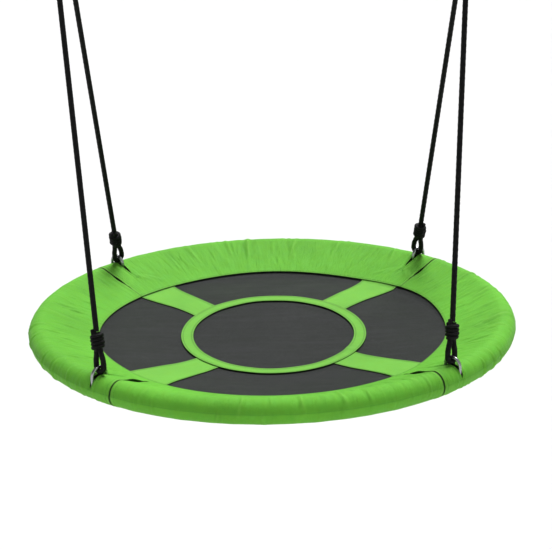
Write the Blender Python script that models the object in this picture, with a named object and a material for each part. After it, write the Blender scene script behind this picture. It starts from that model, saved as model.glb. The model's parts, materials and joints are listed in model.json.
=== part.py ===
"""Saucer nest swing: a round fabric seat on a tubular steel ring, hung from four ropes.

Frame: +X to the right of the seat, +Y to its back, +Z up, metres.  The origin is midway
between the two points where the snap hooks bear on whatever holds the swing up.
"""
import math

import bmesh
import bpy
from mathutils import Matrix, Vector

# Hanging gear
HOOK_SPACING = 0.810
HOOK_ROD_RADIUS = 0.004
HOOK_TOP_BEND = 0.012
HOOK_BOTTOM_BEND = 0.0095
HOOK_LENGTH = 0.068
GATE_RADIUS = 0.0034
GATE_LENGTH = 0.027
GATE_PIN_RADIUS = 0.0011
GATE_NOSE_GAP = 0.0006
RING_ROD_RADIUS = 0.004
RING_BEND = 0.026

# Seat ring
HANG_HEIGHT = 1.000
RIM_RADIUS = 0.474
TUBE_RADIUS = 0.014
TUBE_WALL = 0.0015
SLEEVE_HALF_ANGLE = 5.0
FOAM_RADIUS = 0.0226
FOAM_END_ANGLE = 2.0
COVER_RADIUS = 0.02465
COVER_THICKNESS = 0.0017
SKIRT_INNER_RADIUS = 0.358
SKIRT_DROP = 0.0185
SKIRT_TANGENT_ANGLE = 111.0
LAP_START_RADIUS = 0.412
LAP_END_RADIUS = 0.380
TAPE_THICKNESS = 0.0010
SEAM_OFFSET = 6.0
SLIT_WIDTH = 0.009
SLIT_INNER_REACH = 0.034
SLIT_OUTER_REACH = 0.0222

# Seat mat and the bands sewn on it
MAT_THICKNESS = 0.0016
MAT_OUTER_RADIUS = 0.374
MAT_FLAT_RADIUS = 0.100
MAT_CENTRE_DROP = 0.0300
BAND_THICKNESS = 0.0012
RING_BAND_OUTER = 0.190
RING_BAND_WIDTH = 0.022
STRAP_WIDTH_INNER = 0.065
STRAP_WIDTH_MIDDLE = 0.076
STRAP_WIDTH_OUTER = 0.095

# Ropes
ROPE_RADIUS = 0.005
ROPE_STEP = 0.028
KNOT_RADIUS = 0.0135
KNOT_LENGTH = 0.038
KNOT_START = 0.030
STRAND_HALF_GAP = 0.0053
LOWER_EYE_SLACK = 0.0018
UPPER_EYE_SLACK = 0.0026
UPPER_EYE_SHIFT = 0.007
HOOP_ROD_RADIUS = 0.00325
HOOP_HEIGHT = 0.041

# Fasteners
SCREW_ANGLE_FROM_JOINT = 3.0
SCREW_HEAD_RADIUS = 0.0040
SCREW_HEAD_HEIGHT = 0.0022
SCREW_SHANK_RADIUS = 0.0019

# Faceting and clearances
GAP = 0.0003
RING_CELLS = 40
SECTION_SIDES = 10
ROD_SIDES = 8

# Worked out from the above
CELL = 360.0 / RING_CELLS
HINGE_Z = HOOK_ROD_RADIUS - HOOK_LENGTH + HOOK_ROD_RADIUS + RING_ROD_RADIUS + GAP
RIM_Z = HINGE_Z - HANG_HEIGHT
RING_CENTRE_Z = HINGE_Z - RING_BEND
SKIRT_SLOPE = ((COVER_RADIUS * math.sin(math.radians(SKIRT_TANGENT_ANGLE)) + SKIRT_DROP)
               / (RIM_RADIUS + COVER_RADIUS * math.cos(math.radians(SKIRT_TANGENT_ANGLE))
                  - SKIRT_INNER_RADIUS))
LAP_DROP = COVER_THICKNESS + TAPE_THICKNESS + 2.0 * GAP
MAT_KNEE_RADIUS = SKIRT_INNER_RADIUS - 0.001
MAT_EDGE_DROP = SKIRT_DROP + COVER_THICKNESS / 2.0 + BAND_THICKNESS + 5.0 * GAP

CORNERS = {"back_right": 45.0, "back_left": 135.0, "front_left": 225.0, "front_right": 315.0}
SIDES = {"right": 0.0, "back": 90.0, "left": 180.0, "front": 270.0}
SEAMS = {"front": (225.0 + SEAM_OFFSET, 315.0 - SEAM_OFFSET),
         "right": (-45.0 - SEAM_OFFSET, 45.0 - SEAM_OFFSET),
         "back": (45.0 - SEAM_OFFSET, 135.0 + SEAM_OFFSET),
         "left": (135.0 + SEAM_OFFSET, 225.0 + SEAM_OFFSET)}

COLOURS = {
    "green_cloth": ((0.19, 0.55, 0.10), 0.75, 0.0),
    "green_band": ((0.28, 0.62, 0.13), 0.75, 0.0),
    "dark_mesh": ((0.055, 0.06, 0.055), 0.8, 0.0),
    "black_rope": ((0.012, 0.012, 0.012), 0.7, 0.0),
    "galvanised_steel": ((0.62, 0.63, 0.64), 0.4, 1.0),
    "polished_steel": ((0.72, 0.73, 0.74), 0.25, 1.0),
    "grey_foam": ((0.25, 0.25, 0.26), 0.9, 0.0),
    "black_tape": ((0.02, 0.02, 0.02), 0.9, 0.0),
}


# ---------------------------------------------------------------- scene helpers

def clear_scene():
    for obj in list(bpy.data.objects):
        bpy.data.objects.remove(obj)


def make_materials():
    materials = {}
    for name, (colour, roughness, metallic) in COLOURS.items():
        material = bpy.data.materials.new(name)
        material.use_nodes = True
        shader = material.node_tree.nodes["Principled BSDF"]
        shader.inputs["Base Color"].default_value = (*colour, 1.0)
        shader.inputs["Roughness"].default_value = roughness
        shader.inputs["Metallic"].default_value = metallic
        materials[name] = material
    return materials


def make_pivot(name, position, parent=None):
    """Empty on a joint's axis; its pieces are parented to it."""
    pivot = bpy.data.objects.new(name, None)
    pivot.empty_display_size = 0.05
    pivot["world"] = list(position)
    pivot.parent = parent
    pivot.location = Vector(position) - (Vector(parent["world"]) if parent else Vector())
    bpy.context.scene.collection.objects.link(pivot)
    return pivot


def add_piece(name, data, material, pivot):
    """Object whose origin is the pivot, made from data given in world coordinates."""
    data.transform(Matrix.Translation(-Vector(pivot["world"])))
    data.materials.append(material)
    piece = bpy.data.objects.new(name, data)
    piece.parent = pivot
    bpy.context.scene.collection.objects.link(piece)
    return piece


def mesh_from(bm, name, smooth=True):
    bmesh.ops.recalc_face_normals(bm, faces=bm.faces)
    mesh = bpy.data.meshes.new(name)
    bm.to_mesh(mesh)
    bm.free()
    if smooth:
        mesh.shade_smooth()
        mesh.set_sharp_from_angle(angle=math.radians(40.0))
    return mesh


def combine(piece, tool_mesh, operation):
    """Cut, trim or join a piece with a tool shape given in world coordinates."""
    tool = bpy.data.objects.new(piece.name + "_tool", tool_mesh)
    tool.display_type = 'WIRE'
    tool.hide_render = True
    bpy.context.scene.collection.objects.link(tool)
    modifier = piece.modifiers.new(operation.capitalize(), 'BOOLEAN')
    modifier.operation = operation
    modifier.solver = 'EXACT'
    modifier.object = tool


# ---------------------------------------------------------------- shape helpers

def polar(angle, radius, z=0.0):
    return Vector((radius * math.cos(math.radians(angle)), radius * math.sin(math.radians(angle)), z))


def on_ring(angle, radius, z):
    """Point on the faceted seat ring, so that neighbouring pieces share the same facets."""
    past_station = angle % CELL
    squeeze = math.cos(math.radians(CELL / 2.0)) / math.cos(math.radians(past_station - CELL / 2.0))
    return polar(angle, radius * squeeze, RIM_Z + z)


def ring_angles(start, end):
    """The end angles and every ring station between them."""
    angles = [start]
    station = (math.floor(start / CELL + 1e-6) + 1) * CELL
    while station < end - 1e-6:
        angles.append(station)
        station += CELL
    return angles + [end]


def loft(sections, closed=False):
    """Solid through closed sections of one even length, its ends filled from side to side."""
    bm = bmesh.new()
    rows = [[bm.verts.new(point) for point in section] for section in sections]
    count = len(rows[0])
    pairs = list(zip(rows, rows[1:]))
    if closed:
        pairs.append((rows[-1], rows[0]))
    for row, following in pairs:
        for i in range(count):
            j = (i + 1) % count
            bm.faces.new((row[i], row[j], following[j], following[i]))
    if not closed:
        for row in (rows[0], rows[-1]):
            for i in range(count // 2 - 1):
                bm.faces.new((row[i], row[i + 1], row[count - 2 - i], row[count - 1 - i]))
    return bm


def sweep_ring(profile, start, end):
    """Sweep a closed outline of (radius, height) points along the seat ring."""
    full_turn = end - start >= 360.0 - 1e-6
    angles = ring_angles(start, end)
    if full_turn:
        angles.pop()
    sections = [[on_ring(angle, radius, z) for radius, z in profile] for angle in angles]
    return loft(sections, closed=full_turn)


def sweep_pipe(outer_radius, inner_radius, start, end):
    """Pipe that follows the ring, open at both ends."""
    sections = []
    for angle in ring_angles(start, end):
        loops = []
        for radius in (outer_radius, inner_radius):
            loops.append([on_ring(angle, RIM_RADIUS + radius * math.cos(turn), radius * math.sin(turn))
                          for turn in section_turns()])
        sections.append(loops)
    bm = bmesh.new()
    rows = [[[bm.verts.new(point) for point in loop] for loop in loops] for loops in sections]
    for row, following in zip(rows, rows[1:]):
        for wall in range(2):
            for i in range(SECTION_SIDES):
                j = (i + 1) % SECTION_SIDES
                bm.faces.new((row[wall][i], row[wall][j], following[wall][j], following[wall][i]))
    for row in (rows[0], rows[-1]):
        for i in range(SECTION_SIDES):
            j = (i + 1) % SECTION_SIDES
            bm.faces.new((row[0][i], row[0][j], row[1][j], row[1][i]))
    return bm


def section_turns():
    return [2.0 * math.pi * i / SECTION_SIDES for i in range(SECTION_SIDES)]


def bend_rod(points, radius, sides=ROD_SIDES, closed=False):
    """Round rod along a path, with sections that turn no more than the path does."""
    points = [Vector(point) for point in points]
    count = len(points)
    tangents = []
    for i in range(count):
        before = points[i - 1] if closed or i else points[i]
        after = points[(i + 1) % count] if closed or i < count - 1 else points[i]
        tangents.append((after - before).normalized())
    side = tangents[0].orthogonal().normalized()
    sections = []
    for i, tangent in enumerate(tangents):
        side = (side - tangent * side.dot(tangent)).normalized()
        other = tangent.cross(side)
        ring = []
        for k in range(sides):
            turn = 2.0 * math.pi * k / sides
            ring.append(points[i] + radius * (math.cos(turn) * side + math.sin(turn) * other))
        sections.append(ring)
    return loft(sections, closed=closed)


def turned(outline, origin, axis, sides):
    """Solid of revolution: outline of (distance along the axis, radius) about axis."""
    axis = Vector(axis).normalized()
    side = axis.orthogonal().normalized()
    other = axis.cross(side)
    sections = []
    for distance, radius in outline:
        centre = Vector(origin) + axis * distance
        sections.append([centre + radius * (math.cos(turn) * side + math.sin(turn) * other)
                         for turn in (2.0 * math.pi * k / sides for k in range(sides))])
    return loft(sections)


def block(centre, directions, sizes):
    """Box with its three directions and full sizes given."""
    matrix = Matrix([direction * size for direction, size in zip(directions, sizes)]).transposed().to_4x4()
    matrix.translation = Vector(centre)
    bm = bmesh.new()
    bmesh.ops.create_cube(bm, size=1.0, matrix=matrix)
    return bm


def thicken(path, thickness):
    """Closed outline of a strip whose middle line is the given open path."""
    path = [Vector(point) for point in path]
    left, right = [], []
    for i, point in enumerate(path):
        before = (point - path[i - 1]).normalized() if i else None
        after = (path[i + 1] - point).normalized() if i < len(path) - 1 else None
        along = ((before or after) + (after or before)).normalized()
        normal = Vector((-along.y, along.x))
        spread = thickness / 2.0 / abs(along.dot(after or before))
        left.append(point + normal * spread)
        right.append(point - normal * spread)
    return left + right[::-1]


# ---------------------------------------------------------------- seat frame

def frame_tube(start):
    return sweep_pipe(TUBE_RADIUS, TUBE_RADIUS - TUBE_WALL, start + 0.02, start + 89.98)


def joint_sleeve(angle):
    outer = TUBE_RADIUS - TUBE_WALL - GAP
    return sweep_pipe(outer, outer - TUBE_WALL, angle - SLEEVE_HALF_ANGLE, angle + SLEEVE_HALF_ANGLE)


def screw_place(angle):
    return on_ring(angle + SCREW_ANGLE_FROM_JOINT, RIM_RADIUS, 0.0)


def joint_screw(angle):
    flat = TUBE_RADIUS * math.cos(math.pi / SECTION_SIDES)
    tip = flat - TUBE_WALL - GAP - 2.0 * TUBE_WALL
    outline = [(tip, SCREW_SHANK_RADIUS * 0.5), (tip + 0.001, SCREW_SHANK_RADIUS),
               (flat + GAP, SCREW_SHANK_RADIUS), (flat + GAP, SCREW_HEAD_RADIUS),
               (flat + GAP + SCREW_HEAD_HEIGHT * 0.6, SCREW_HEAD_RADIUS),
               (flat + GAP + SCREW_HEAD_HEIGHT, SCREW_HEAD_RADIUS * 0.6)]
    return turned(outline, screw_place(angle), (0.0, 0.0, -1.0), ROD_SIDES)


def screw_hole(angle, radius, depth_from, depth_to):
    return mesh_from(turned([(depth_from, radius), (depth_to, radius)], screw_place(angle),
                            (0.0, 0.0, -1.0), ROD_SIDES), "hole", smooth=False)


def foam_sleeve(angle):
    reach = 45.0 - FOAM_END_ANGLE
    return sweep_pipe(FOAM_RADIUS, TUBE_RADIUS + GAP, angle - reach, angle + reach)


def hoop_top(angle):
    return polar(angle, RIM_RADIUS, RIM_Z + HOOP_HEIGHT)


def rope_hoop(angle):
    """U-shaped rod that straddles the tube in the plane through the seat's axis."""
    half_width = TUBE_RADIUS + GAP + HOOP_ROD_RADIUS
    bend_centre = HOOP_HEIGHT - half_width
    flat = [(half_width, -0.004), (half_width, bend_centre * 0.5)]
    flat += [(half_width * math.cos(math.radians(turn)), bend_centre + half_width * math.sin(math.radians(turn)))
             for turn in range(0, 181, 20)]
    flat += [(-half_width, bend_centre * 0.5), (-half_width, -0.004)]
    return bend_rod([polar(angle, RIM_RADIUS + u, RIM_Z + w) for u, w in flat], HOOP_ROD_RADIUS)


# ---------------------------------------------------------------- cover and mat

def skirt_height(radius):
    return -SKIRT_DROP + SKIRT_SLOPE * (radius - SKIRT_INNER_RADIUS)


def cover_outline():
    """Strip that runs up the skirt, over and round the tube, and back under the skirt."""
    path = [(SKIRT_INNER_RADIUS, -SKIRT_DROP)]
    step = 360.0 / SECTION_SIDES
    turns = [SKIRT_TANGENT_ANGLE] + [step * k for k in range(2, -4, -1)] + [-118.0]
    for turn in turns:
        path.append((RIM_RADIUS + COVER_RADIUS * math.cos(math.radians(turn)),
                     COVER_RADIUS * math.sin(math.radians(turn))))
    path.append((LAP_START_RADIUS, skirt_height(LAP_START_RADIUS) - LAP_DROP))
    path.append((LAP_END_RADIUS, skirt_height(LAP_END_RADIUS) - LAP_DROP))
    return thicken(path, COVER_THICKNESS)


def rim_cover(side):
    start, end = SEAMS[side]
    return sweep_ring(cover_outline(), start + 0.02, end - 0.02)


def rope_slit(angle):
    """Radial cut in the top of the cover, long enough for the hoop's legs."""
    middle = (SLIT_OUTER_REACH - SLIT_INNER_REACH) / 2.0
    length = SLIT_OUTER_REACH + SLIT_INNER_REACH
    height = 0.040
    centre = polar(angle, RIM_RADIUS + middle, RIM_Z + 0.004 + height / 2.0)
    directions = (polar(angle, 1.0), polar(angle + 90.0, 1.0), Vector((0.0, 0.0, 1.0)))
    return mesh_from(block(centre, directions, (length, SLIT_WIDTH, height)), "slit", smooth=False)


def closure_tape(side):
    """Hook-and-loop strip between the skirt and the lap under it."""
    start, end = SEAMS[side]
    outer = LAP_START_RADIUS - 0.006
    inner = LAP_END_RADIUS + 0.004
    middle_drop = LAP_DROP / 2.0
    path = [(outer, skirt_height(outer) - middle_drop), (inner, skirt_height(inner) - middle_drop)]
    return sweep_ring(thicken(path, TAPE_THICKNESS), start + 1.0, end - 1.0)


def mat_height(radius):
    """Top of the sagging mat below the rim's middle plane, rising to meet the skirt."""
    if radius <= MAT_FLAT_RADIUS:
        return -MAT_CENTRE_DROP
    if radius <= MAT_KNEE_RADIUS:
        share = (radius - MAT_FLAT_RADIUS) / (MAT_KNEE_RADIUS - MAT_FLAT_RADIUS)
        return -MAT_CENTRE_DROP + (MAT_CENTRE_DROP - MAT_EDGE_DROP) * share ** 1.4
    return -MAT_EDGE_DROP + SKIRT_SLOPE * (radius - MAT_KNEE_RADIUS)


MAT_STATIONS = [MAT_FLAT_RADIUS, RING_BAND_OUTER - RING_BAND_WIDTH, RING_BAND_OUTER, 0.28,
                MAT_KNEE_RADIUS, MAT_OUTER_RADIUS]


def seat_mat():
    bm = bmesh.new()
    angles = [CELL * k for k in range(RING_CELLS)]
    rows = []
    for drop in (0.0, MAT_THICKNESS):
        rows.append([[bm.verts.new(on_ring(angle, radius, mat_height(radius) - drop)) for angle in angles]
                     for radius in MAT_STATIONS])
    for rings in rows:
        bm.faces.new(rings[0])
        for ring, following in zip(rings, rings[1:]):
            for i in range(RING_CELLS):
                j = (i + 1) % RING_CELLS
                bm.faces.new((ring[i], ring[j], following[j], following[i]))
    for i in range(RING_CELLS):
        j = (i + 1) % RING_CELLS
        bm.faces.new((rows[0][-1][i], rows[0][-1][j], rows[1][-1][j], rows[1][-1][i]))
    return bm


def band_outline(radii):
    """Outline of a band that lies on the mat between the first and the last radius."""
    bottom = [(radius, mat_height(radius) + GAP) for radius in radii]
    top = [(radius, height + BAND_THICKNESS) for radius, height in reversed(bottom)]
    return bottom + top


def centre_ring_band():
    return sweep_ring(band_outline([RING_BAND_OUTER - RING_BAND_WIDTH, RING_BAND_OUTER]), 0.0, 360.0)


def strap_blank(angle):
    """Sector of band material from which a strap is trimmed."""
    radii = [RING_BAND_OUTER + GAP, 0.28, MAT_KNEE_RADIUS, MAT_OUTER_RADIUS]
    return sweep_ring(band_outline(radii), angle - 2.0 * CELL, angle + 2.0 * CELL)


def strap_trim(angle):
    """Upright prism of the strap's outline, waisted towards the ring band."""
    half = [(0.150, STRAP_WIDTH_INNER / 2.0), (0.210, STRAP_WIDTH_INNER / 2.0),
            (0.290, STRAP_WIDTH_MIDDLE / 2.0), (SKIRT_INNER_RADIUS, STRAP_WIDTH_OUTER / 2.0),
            (0.400, STRAP_WIDTH_OUTER / 2.0 + 0.006)]
    outline = half + [(distance, -width) for distance, width in reversed(half)]
    out, across = polar(angle, 1.0), polar(angle + 90.0, 1.0)
    sections = []
    for z in (RIM_Z - 0.06, RIM_Z + 0.02):
        sections.append([out * distance + across * width + Vector((0.0, 0.0, z)) for distance, width in outline])
    return mesh_from(loft(sections), "trim", smooth=False)


# ---------------------------------------------------------------- ropes

def ring_place(corner):
    """Turn about the hanging ring's centre at which the rope's upper eye sits."""
    lean = math.degrees(math.asin(UPPER_EYE_SHIFT / RING_BEND))
    return 270.0 + lean if corner.startswith("back") else 270.0 - lean


def rope_ends(corner):
    """Where the rope bears on its hoop and on its hanging ring."""
    side = -1.0 if corner.endswith("left") else 1.0
    turn = math.radians(ring_place(corner))
    centre = Vector((side * HOOK_SPACING / 2.0, 0.0, RING_CENTRE_Z))
    upper = centre + RING_BEND * Vector((math.cos(turn), 0.0, math.sin(turn)))
    return hoop_top(CORNERS[corner]), upper


def eye_path(anchor, direction, rod_direction, bend, reach):
    """Loop round a rod at the anchor, closing to two strands that run along direction."""
    normal = (rod_direction - direction * rod_direction.dot(direction)).normalized()
    across = normal.cross(direction)
    side = [(STRAND_HALF_GAP, reach), (STRAND_HALF_GAP + 0.0002, reach * 0.86), (bend * 0.93, reach * 0.45),
            (bend, reach * 0.14)]
    arc = [(bend * math.cos(math.radians(turn)), -bend * math.sin(math.radians(turn)))
           for turn in range(0, 181, 20)]
    flat = side + arc + [(-u, w) for u, w in reversed(side)]
    return [anchor + across * u + direction * w for u, w in flat]


def knot_outline(start):
    return [(start, KNOT_RADIUS * 0.72), (start + 0.002, KNOT_RADIUS), (start + KNOT_LENGTH - 0.002, KNOT_RADIUS),
            (start + KNOT_LENGTH, KNOT_RADIUS * 0.62)]


def rope_run(lower, upper):
    """Taut rope from knot to knot, as a bevelled curve."""
    direction = (upper - lower).normalized()
    reach = KNOT_START + KNOT_LENGTH + GAP
    start = lower + direction * reach
    end = upper - direction * reach
    steps = round((end - start).length / ROPE_STEP)
    curve = bpy.data.curves.new("rope", 'CURVE')
    curve.dimensions = '3D'
    curve.bevel_depth = ROPE_RADIUS
    curve.bevel_resolution = 2
    curve.use_fill_caps = True
    spline = curve.splines.new('POLY')
    spline.points.add(steps)
    for k in range(steps + 1):
        spline.points[k].co = (*start.lerp(end, k / steps), 1.0)
    return curve


# ---------------------------------------------------------------- hanging gear

def hanging_ring(side):
    centre = Vector((side * HOOK_SPACING / 2.0, 0.0, RING_CENTRE_Z))
    turns = [math.radians(15.0 * k) for k in range(24)]
    return bend_rod([centre + RING_BEND * Vector((math.cos(turn), 0.0, math.sin(turn))) for turn in turns],
                    RING_ROD_RADIUS, closed=True)


def hook_levels():
    """Heights on the snap hook: bend centres, gate pin and nose."""
    top_centre = HOOK_ROD_RADIUS - HOOK_TOP_BEND
    bottom_centre = HOOK_ROD_RADIUS - HOOK_LENGTH + HOOK_BOTTOM_BEND
    nose = top_centre - 0.0065
    pin = nose - GATE_NOSE_GAP - GATE_LENGTH
    return top_centre, bottom_centre, nose, pin


def leg_offset(z):
    """Distance of the hook's leg from its middle plane at a height."""
    top_centre, bottom_centre, _, _ = hook_levels()
    share = (top_centre - z) / (top_centre - bottom_centre)
    return HOOK_TOP_BEND + (HOOK_BOTTOM_BEND - HOOK_TOP_BEND) * share


def snap_hook_body(side):
    """Rod from the nose over the top, down the spine and round to the gate's pin end."""
    top_centre, bottom_centre, nose, pin = hook_levels()
    leg_end = pin - GATE_RADIUS - GATE_NOSE_GAP
    flat = [(leg_offset(nose), nose)]
    flat += [(HOOK_TOP_BEND * math.cos(math.radians(turn)), top_centre + HOOK_TOP_BEND * math.sin(math.radians(turn)))
             for turn in range(0, 181, 20)]
    flat += [(-HOOK_BOTTOM_BEND * math.cos(math.radians(turn)),
              bottom_centre - HOOK_BOTTOM_BEND * math.sin(math.radians(turn))) for turn in range(0, 181, 20)]
    flat += [(leg_offset(leg_end), leg_end)]
    x = side * HOOK_SPACING / 2.0
    return bend_rod([(x, y, z) for y, z in flat], HOOK_ROD_RADIUS)


def hook_tang(side):
    """Flat tongue on the leg's end that carries the gate's pin."""
    _, _, _, pin = hook_levels()
    bottom = pin - GATE_RADIUS - GATE_NOSE_GAP - 0.002
    top = pin + 0.0024
    centre = (side * HOOK_SPACING / 2.0, leg_offset(pin), (bottom + top) / 2.0)
    return mesh_from(block(centre, (Vector((1, 0, 0)), Vector((0, 1, 0)), Vector((0, 0, 1))),
                           (0.0024, 0.0046, top - bottom)), "tang", smooth=False)


def pin_place(side):
    _, _, _, pin = hook_levels()
    return Vector((side * HOOK_SPACING / 2.0, leg_offset(pin), pin))


def pin_rod(side, radius, half_length):
    return turned([(-half_length, radius), (half_length, radius)], pin_place(side), (1.0, 0.0, 0.0), 12)


def snap_gate(side):
    """Gate rod with a round lower end about its pin."""
    outline = [(-GATE_RADIUS * math.cos(math.radians(turn)), max(GATE_RADIUS * math.sin(math.radians(turn)), 0.0004))
               for turn in (2.0, 30.0, 60.0, 90.0)]
    outline += [(GATE_LENGTH - 0.0008, GATE_RADIUS), (GATE_LENGTH, GATE_RADIUS - 0.0008)]
    return turned(outline, pin_place(side), (0.0, 0.0, 1.0), 12)


def gate_slot(side):
    """Slot in the gate's lower end, where the hook's tongue goes."""
    centre = pin_place(side) + Vector((0.0, 0.0, -0.0005))
    return mesh_from(block(centre, (Vector((1, 0, 0)), Vector((0, 1, 0)), Vector((0, 0, 1))),
                           (0.0030, 0.0200, 0.0100)), "slot", smooth=False)


# ---------------------------------------------------------------- assembly

def build_hanging_gear(materials, pivots):
    steel = materials["polished_steel"]
    for name, side in (("left", -1.0), ("right", 1.0)):
        hook = add_piece("snap_hook_" + name, mesh_from(snap_hook_body(side), "hook"), steel, pivots["hangers"])
        combine(hook, hook_tang(side), 'UNION')
        combine(hook, mesh_from(pin_rod(side, GATE_PIN_RADIUS + 0.0002, 0.0020), "bore", False), 'DIFFERENCE')
        add_piece("gate_pin_" + name, mesh_from(pin_rod(side, GATE_PIN_RADIUS, 0.0033), "pin"),
                  steel, pivots["hangers"])
        gate = add_piece("snap_gate_" + name, mesh_from(snap_gate(side), "gate"), steel, pivots["gate_" + name])
        combine(gate, gate_slot(side), 'DIFFERENCE')
        combine(gate, mesh_from(pin_rod(side, GATE_PIN_RADIUS + 0.0002, 0.0050), "bore", False), 'DIFFERENCE')
        add_piece("hanging_ring_" + name, mesh_from(hanging_ring(side), "ring"), steel, pivots["swing"])


def build_frame(materials, seat):
    steel = materials["galvanised_steel"]
    flat = TUBE_RADIUS * math.cos(math.pi / SECTION_SIDES)
    for corner, angle in CORNERS.items():
        tube = add_piece("frame_tube_" + corner, mesh_from(frame_tube(angle - 45.0), "tube"), steel, seat)
        combine(tube, screw_hole(angle - 45.0, SCREW_SHANK_RADIUS + GAP, flat - 0.003, flat + 0.003), 'DIFFERENCE')
        add_piece("rope_hoop_" + corner, mesh_from(rope_hoop(angle), "hoop"), materials["polished_steel"], seat)
    for side, angle in SIDES.items():
        sleeve = add_piece("joint_sleeve_" + side, mesh_from(joint_sleeve(angle), "sleeve"), steel, seat)
        combine(sleeve, screw_hole(angle, SCREW_SHANK_RADIUS + GAP, flat - 0.006, flat + 0.003), 'DIFFERENCE')
        add_piece("joint_screw_" + side, mesh_from(joint_screw(angle), "screw"), materials["polished_steel"], seat)
        foam = add_piece("foam_sleeve_" + side, mesh_from(foam_sleeve(angle), "foam"), materials["grey_foam"], seat)
        pocket_top = flat + GAP + SCREW_HEAD_HEIGHT + 0.001
        combine(foam, screw_hole(angle, SCREW_HEAD_RADIUS + 0.0015, flat - 0.002, pocket_top), 'DIFFERENCE')


def build_cover(materials, seat):
    slits = {"left": ("front_left",), "right": ("front_right",), "back": ("back_left", "back_right"), "front": ()}
    for side in SIDES:
        cover = add_piece("rim_cover_" + side, mesh_from(rim_cover(side), "cover"), materials["green_cloth"], seat)
        for corner in slits[side]:
            combine(cover, rope_slit(CORNERS[corner]), 'DIFFERENCE')
        add_piece("closure_tape_" + side, mesh_from(closure_tape(side), "tape"), materials["black_tape"], seat)


def build_mat(materials, seat):
    add_piece("seat_mat", mesh_from(seat_mat(), "mat", smooth=False), materials["dark_mesh"], seat)
    add_piece("centre_ring_band", mesh_from(centre_ring_band(), "band"), materials["green_band"], seat)
    for corner, angle in CORNERS.items():
        strap = add_piece("strap_" + corner, mesh_from(strap_blank(angle), "strap"), materials["green_band"], seat)
        combine(strap, strap_trim(angle), 'INTERSECT')


def build_ropes(materials, pivots):
    black = materials["black_rope"]
    for corner, angle in CORNERS.items():
        pivot = pivots["left_ropes" if corner.endswith("left") else "right_ropes"]
        lower, upper = rope_ends(corner)
        up = (upper - lower).normalized()
        add_piece("rope_" + corner, rope_run(lower, upper), black, pivot)
        add_piece("knot_" + corner, mesh_from(turned(knot_outline(KNOT_START), lower, up, SECTION_SIDES), "knot"),
                  black, pivot)
        bend = HOOP_ROD_RADIUS + ROPE_RADIUS + LOWER_EYE_SLACK
        eye = eye_path(lower, up, polar(angle, 1.0), bend, KNOT_START - GAP)
        add_piece("lower_eye_" + corner, mesh_from(bend_rod(eye, ROPE_RADIUS), "eye"), black, pivot)
        top = add_piece("top_loop_" + corner, mesh_from(turned(knot_outline(KNOT_START), upper, -up, SECTION_SIDES),
                                                        "top_knot"), black, pivot)
        bend = RING_ROD_RADIUS + ROPE_RADIUS + UPPER_EYE_SLACK
        turn = math.radians(ring_place(corner) + 90.0)
        rod = Vector((math.cos(turn), 0.0, math.sin(turn)))
        eye = eye_path(upper, -up, rod, bend, KNOT_START + 0.004)
        combine(top, mesh_from(bend_rod(eye, ROPE_RADIUS), "top_eye", smooth=False), 'UNION')


def make_pivots():
    """Empties on the joint axes: the swing line, the rings' centres, the hoops and the gate pins."""
    half = HOOK_SPACING / 2.0
    hoop = hoop_top(45.0)
    pivots = {"hangers": make_pivot("axis_hangers", (0.0, 0.0, 0.0))}
    pivots["gate_left"] = make_pivot("axis_gate_left", pin_place(-1.0), pivots["hangers"])
    pivots["gate_right"] = make_pivot("axis_gate_right", pin_place(1.0), pivots["hangers"])
    pivots["swing"] = make_pivot("axis_swing", (0.0, 0.0, HINGE_Z), pivots["hangers"])
    pivots["left_ropes"] = make_pivot("axis_left_ropes", (-half, 0.0, RING_CENTRE_Z), pivots["swing"])
    pivots["seat"] = make_pivot("axis_seat", (-hoop.x, 0.0, hoop.z), pivots["left_ropes"])
    pivots["right_ropes"] = make_pivot("axis_right_ropes", (hoop.x, 0.0, hoop.z), pivots["seat"])
    return pivots


def main():
    clear_scene()
    materials = make_materials()
    pivots = make_pivots()
    build_hanging_gear(materials, pivots)
    build_frame(materials, pivots["seat"])
    build_cover(materials, pivots["seat"])
    build_mat(materials, pivots["seat"])
    build_ropes(materials, pivots)


main()
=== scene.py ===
import json
import math

import bmesh
import bpy
import numpy as np
from bpy.props import FloatProperty, FloatVectorProperty, IntProperty, PointerProperty
from mathutils import Matrix, Vector


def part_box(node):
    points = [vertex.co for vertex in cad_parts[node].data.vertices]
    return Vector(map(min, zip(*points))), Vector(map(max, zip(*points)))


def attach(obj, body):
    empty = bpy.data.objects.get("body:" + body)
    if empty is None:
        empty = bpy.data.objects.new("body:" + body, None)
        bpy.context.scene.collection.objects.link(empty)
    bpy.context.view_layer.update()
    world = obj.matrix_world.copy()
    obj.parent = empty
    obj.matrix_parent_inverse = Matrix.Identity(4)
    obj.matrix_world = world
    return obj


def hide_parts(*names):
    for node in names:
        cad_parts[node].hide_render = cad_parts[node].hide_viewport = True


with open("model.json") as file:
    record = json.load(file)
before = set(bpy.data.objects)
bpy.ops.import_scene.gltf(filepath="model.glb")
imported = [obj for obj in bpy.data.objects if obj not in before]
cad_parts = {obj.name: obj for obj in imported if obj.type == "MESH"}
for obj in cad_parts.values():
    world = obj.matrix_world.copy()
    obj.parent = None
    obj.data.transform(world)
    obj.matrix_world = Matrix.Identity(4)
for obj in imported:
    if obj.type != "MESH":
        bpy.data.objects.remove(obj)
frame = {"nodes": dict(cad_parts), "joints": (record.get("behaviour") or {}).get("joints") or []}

bl_info = {
    "name": "Saucer nest swing",
    "version": (1, 0, 0),
    "blender": (4, 5, 0),
    "location": "View3D > Sidebar > Nest swing",
    "description": "Builds the visible pieces of a round nest swing on its packed frame",
    "category": "Object",
}

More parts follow.
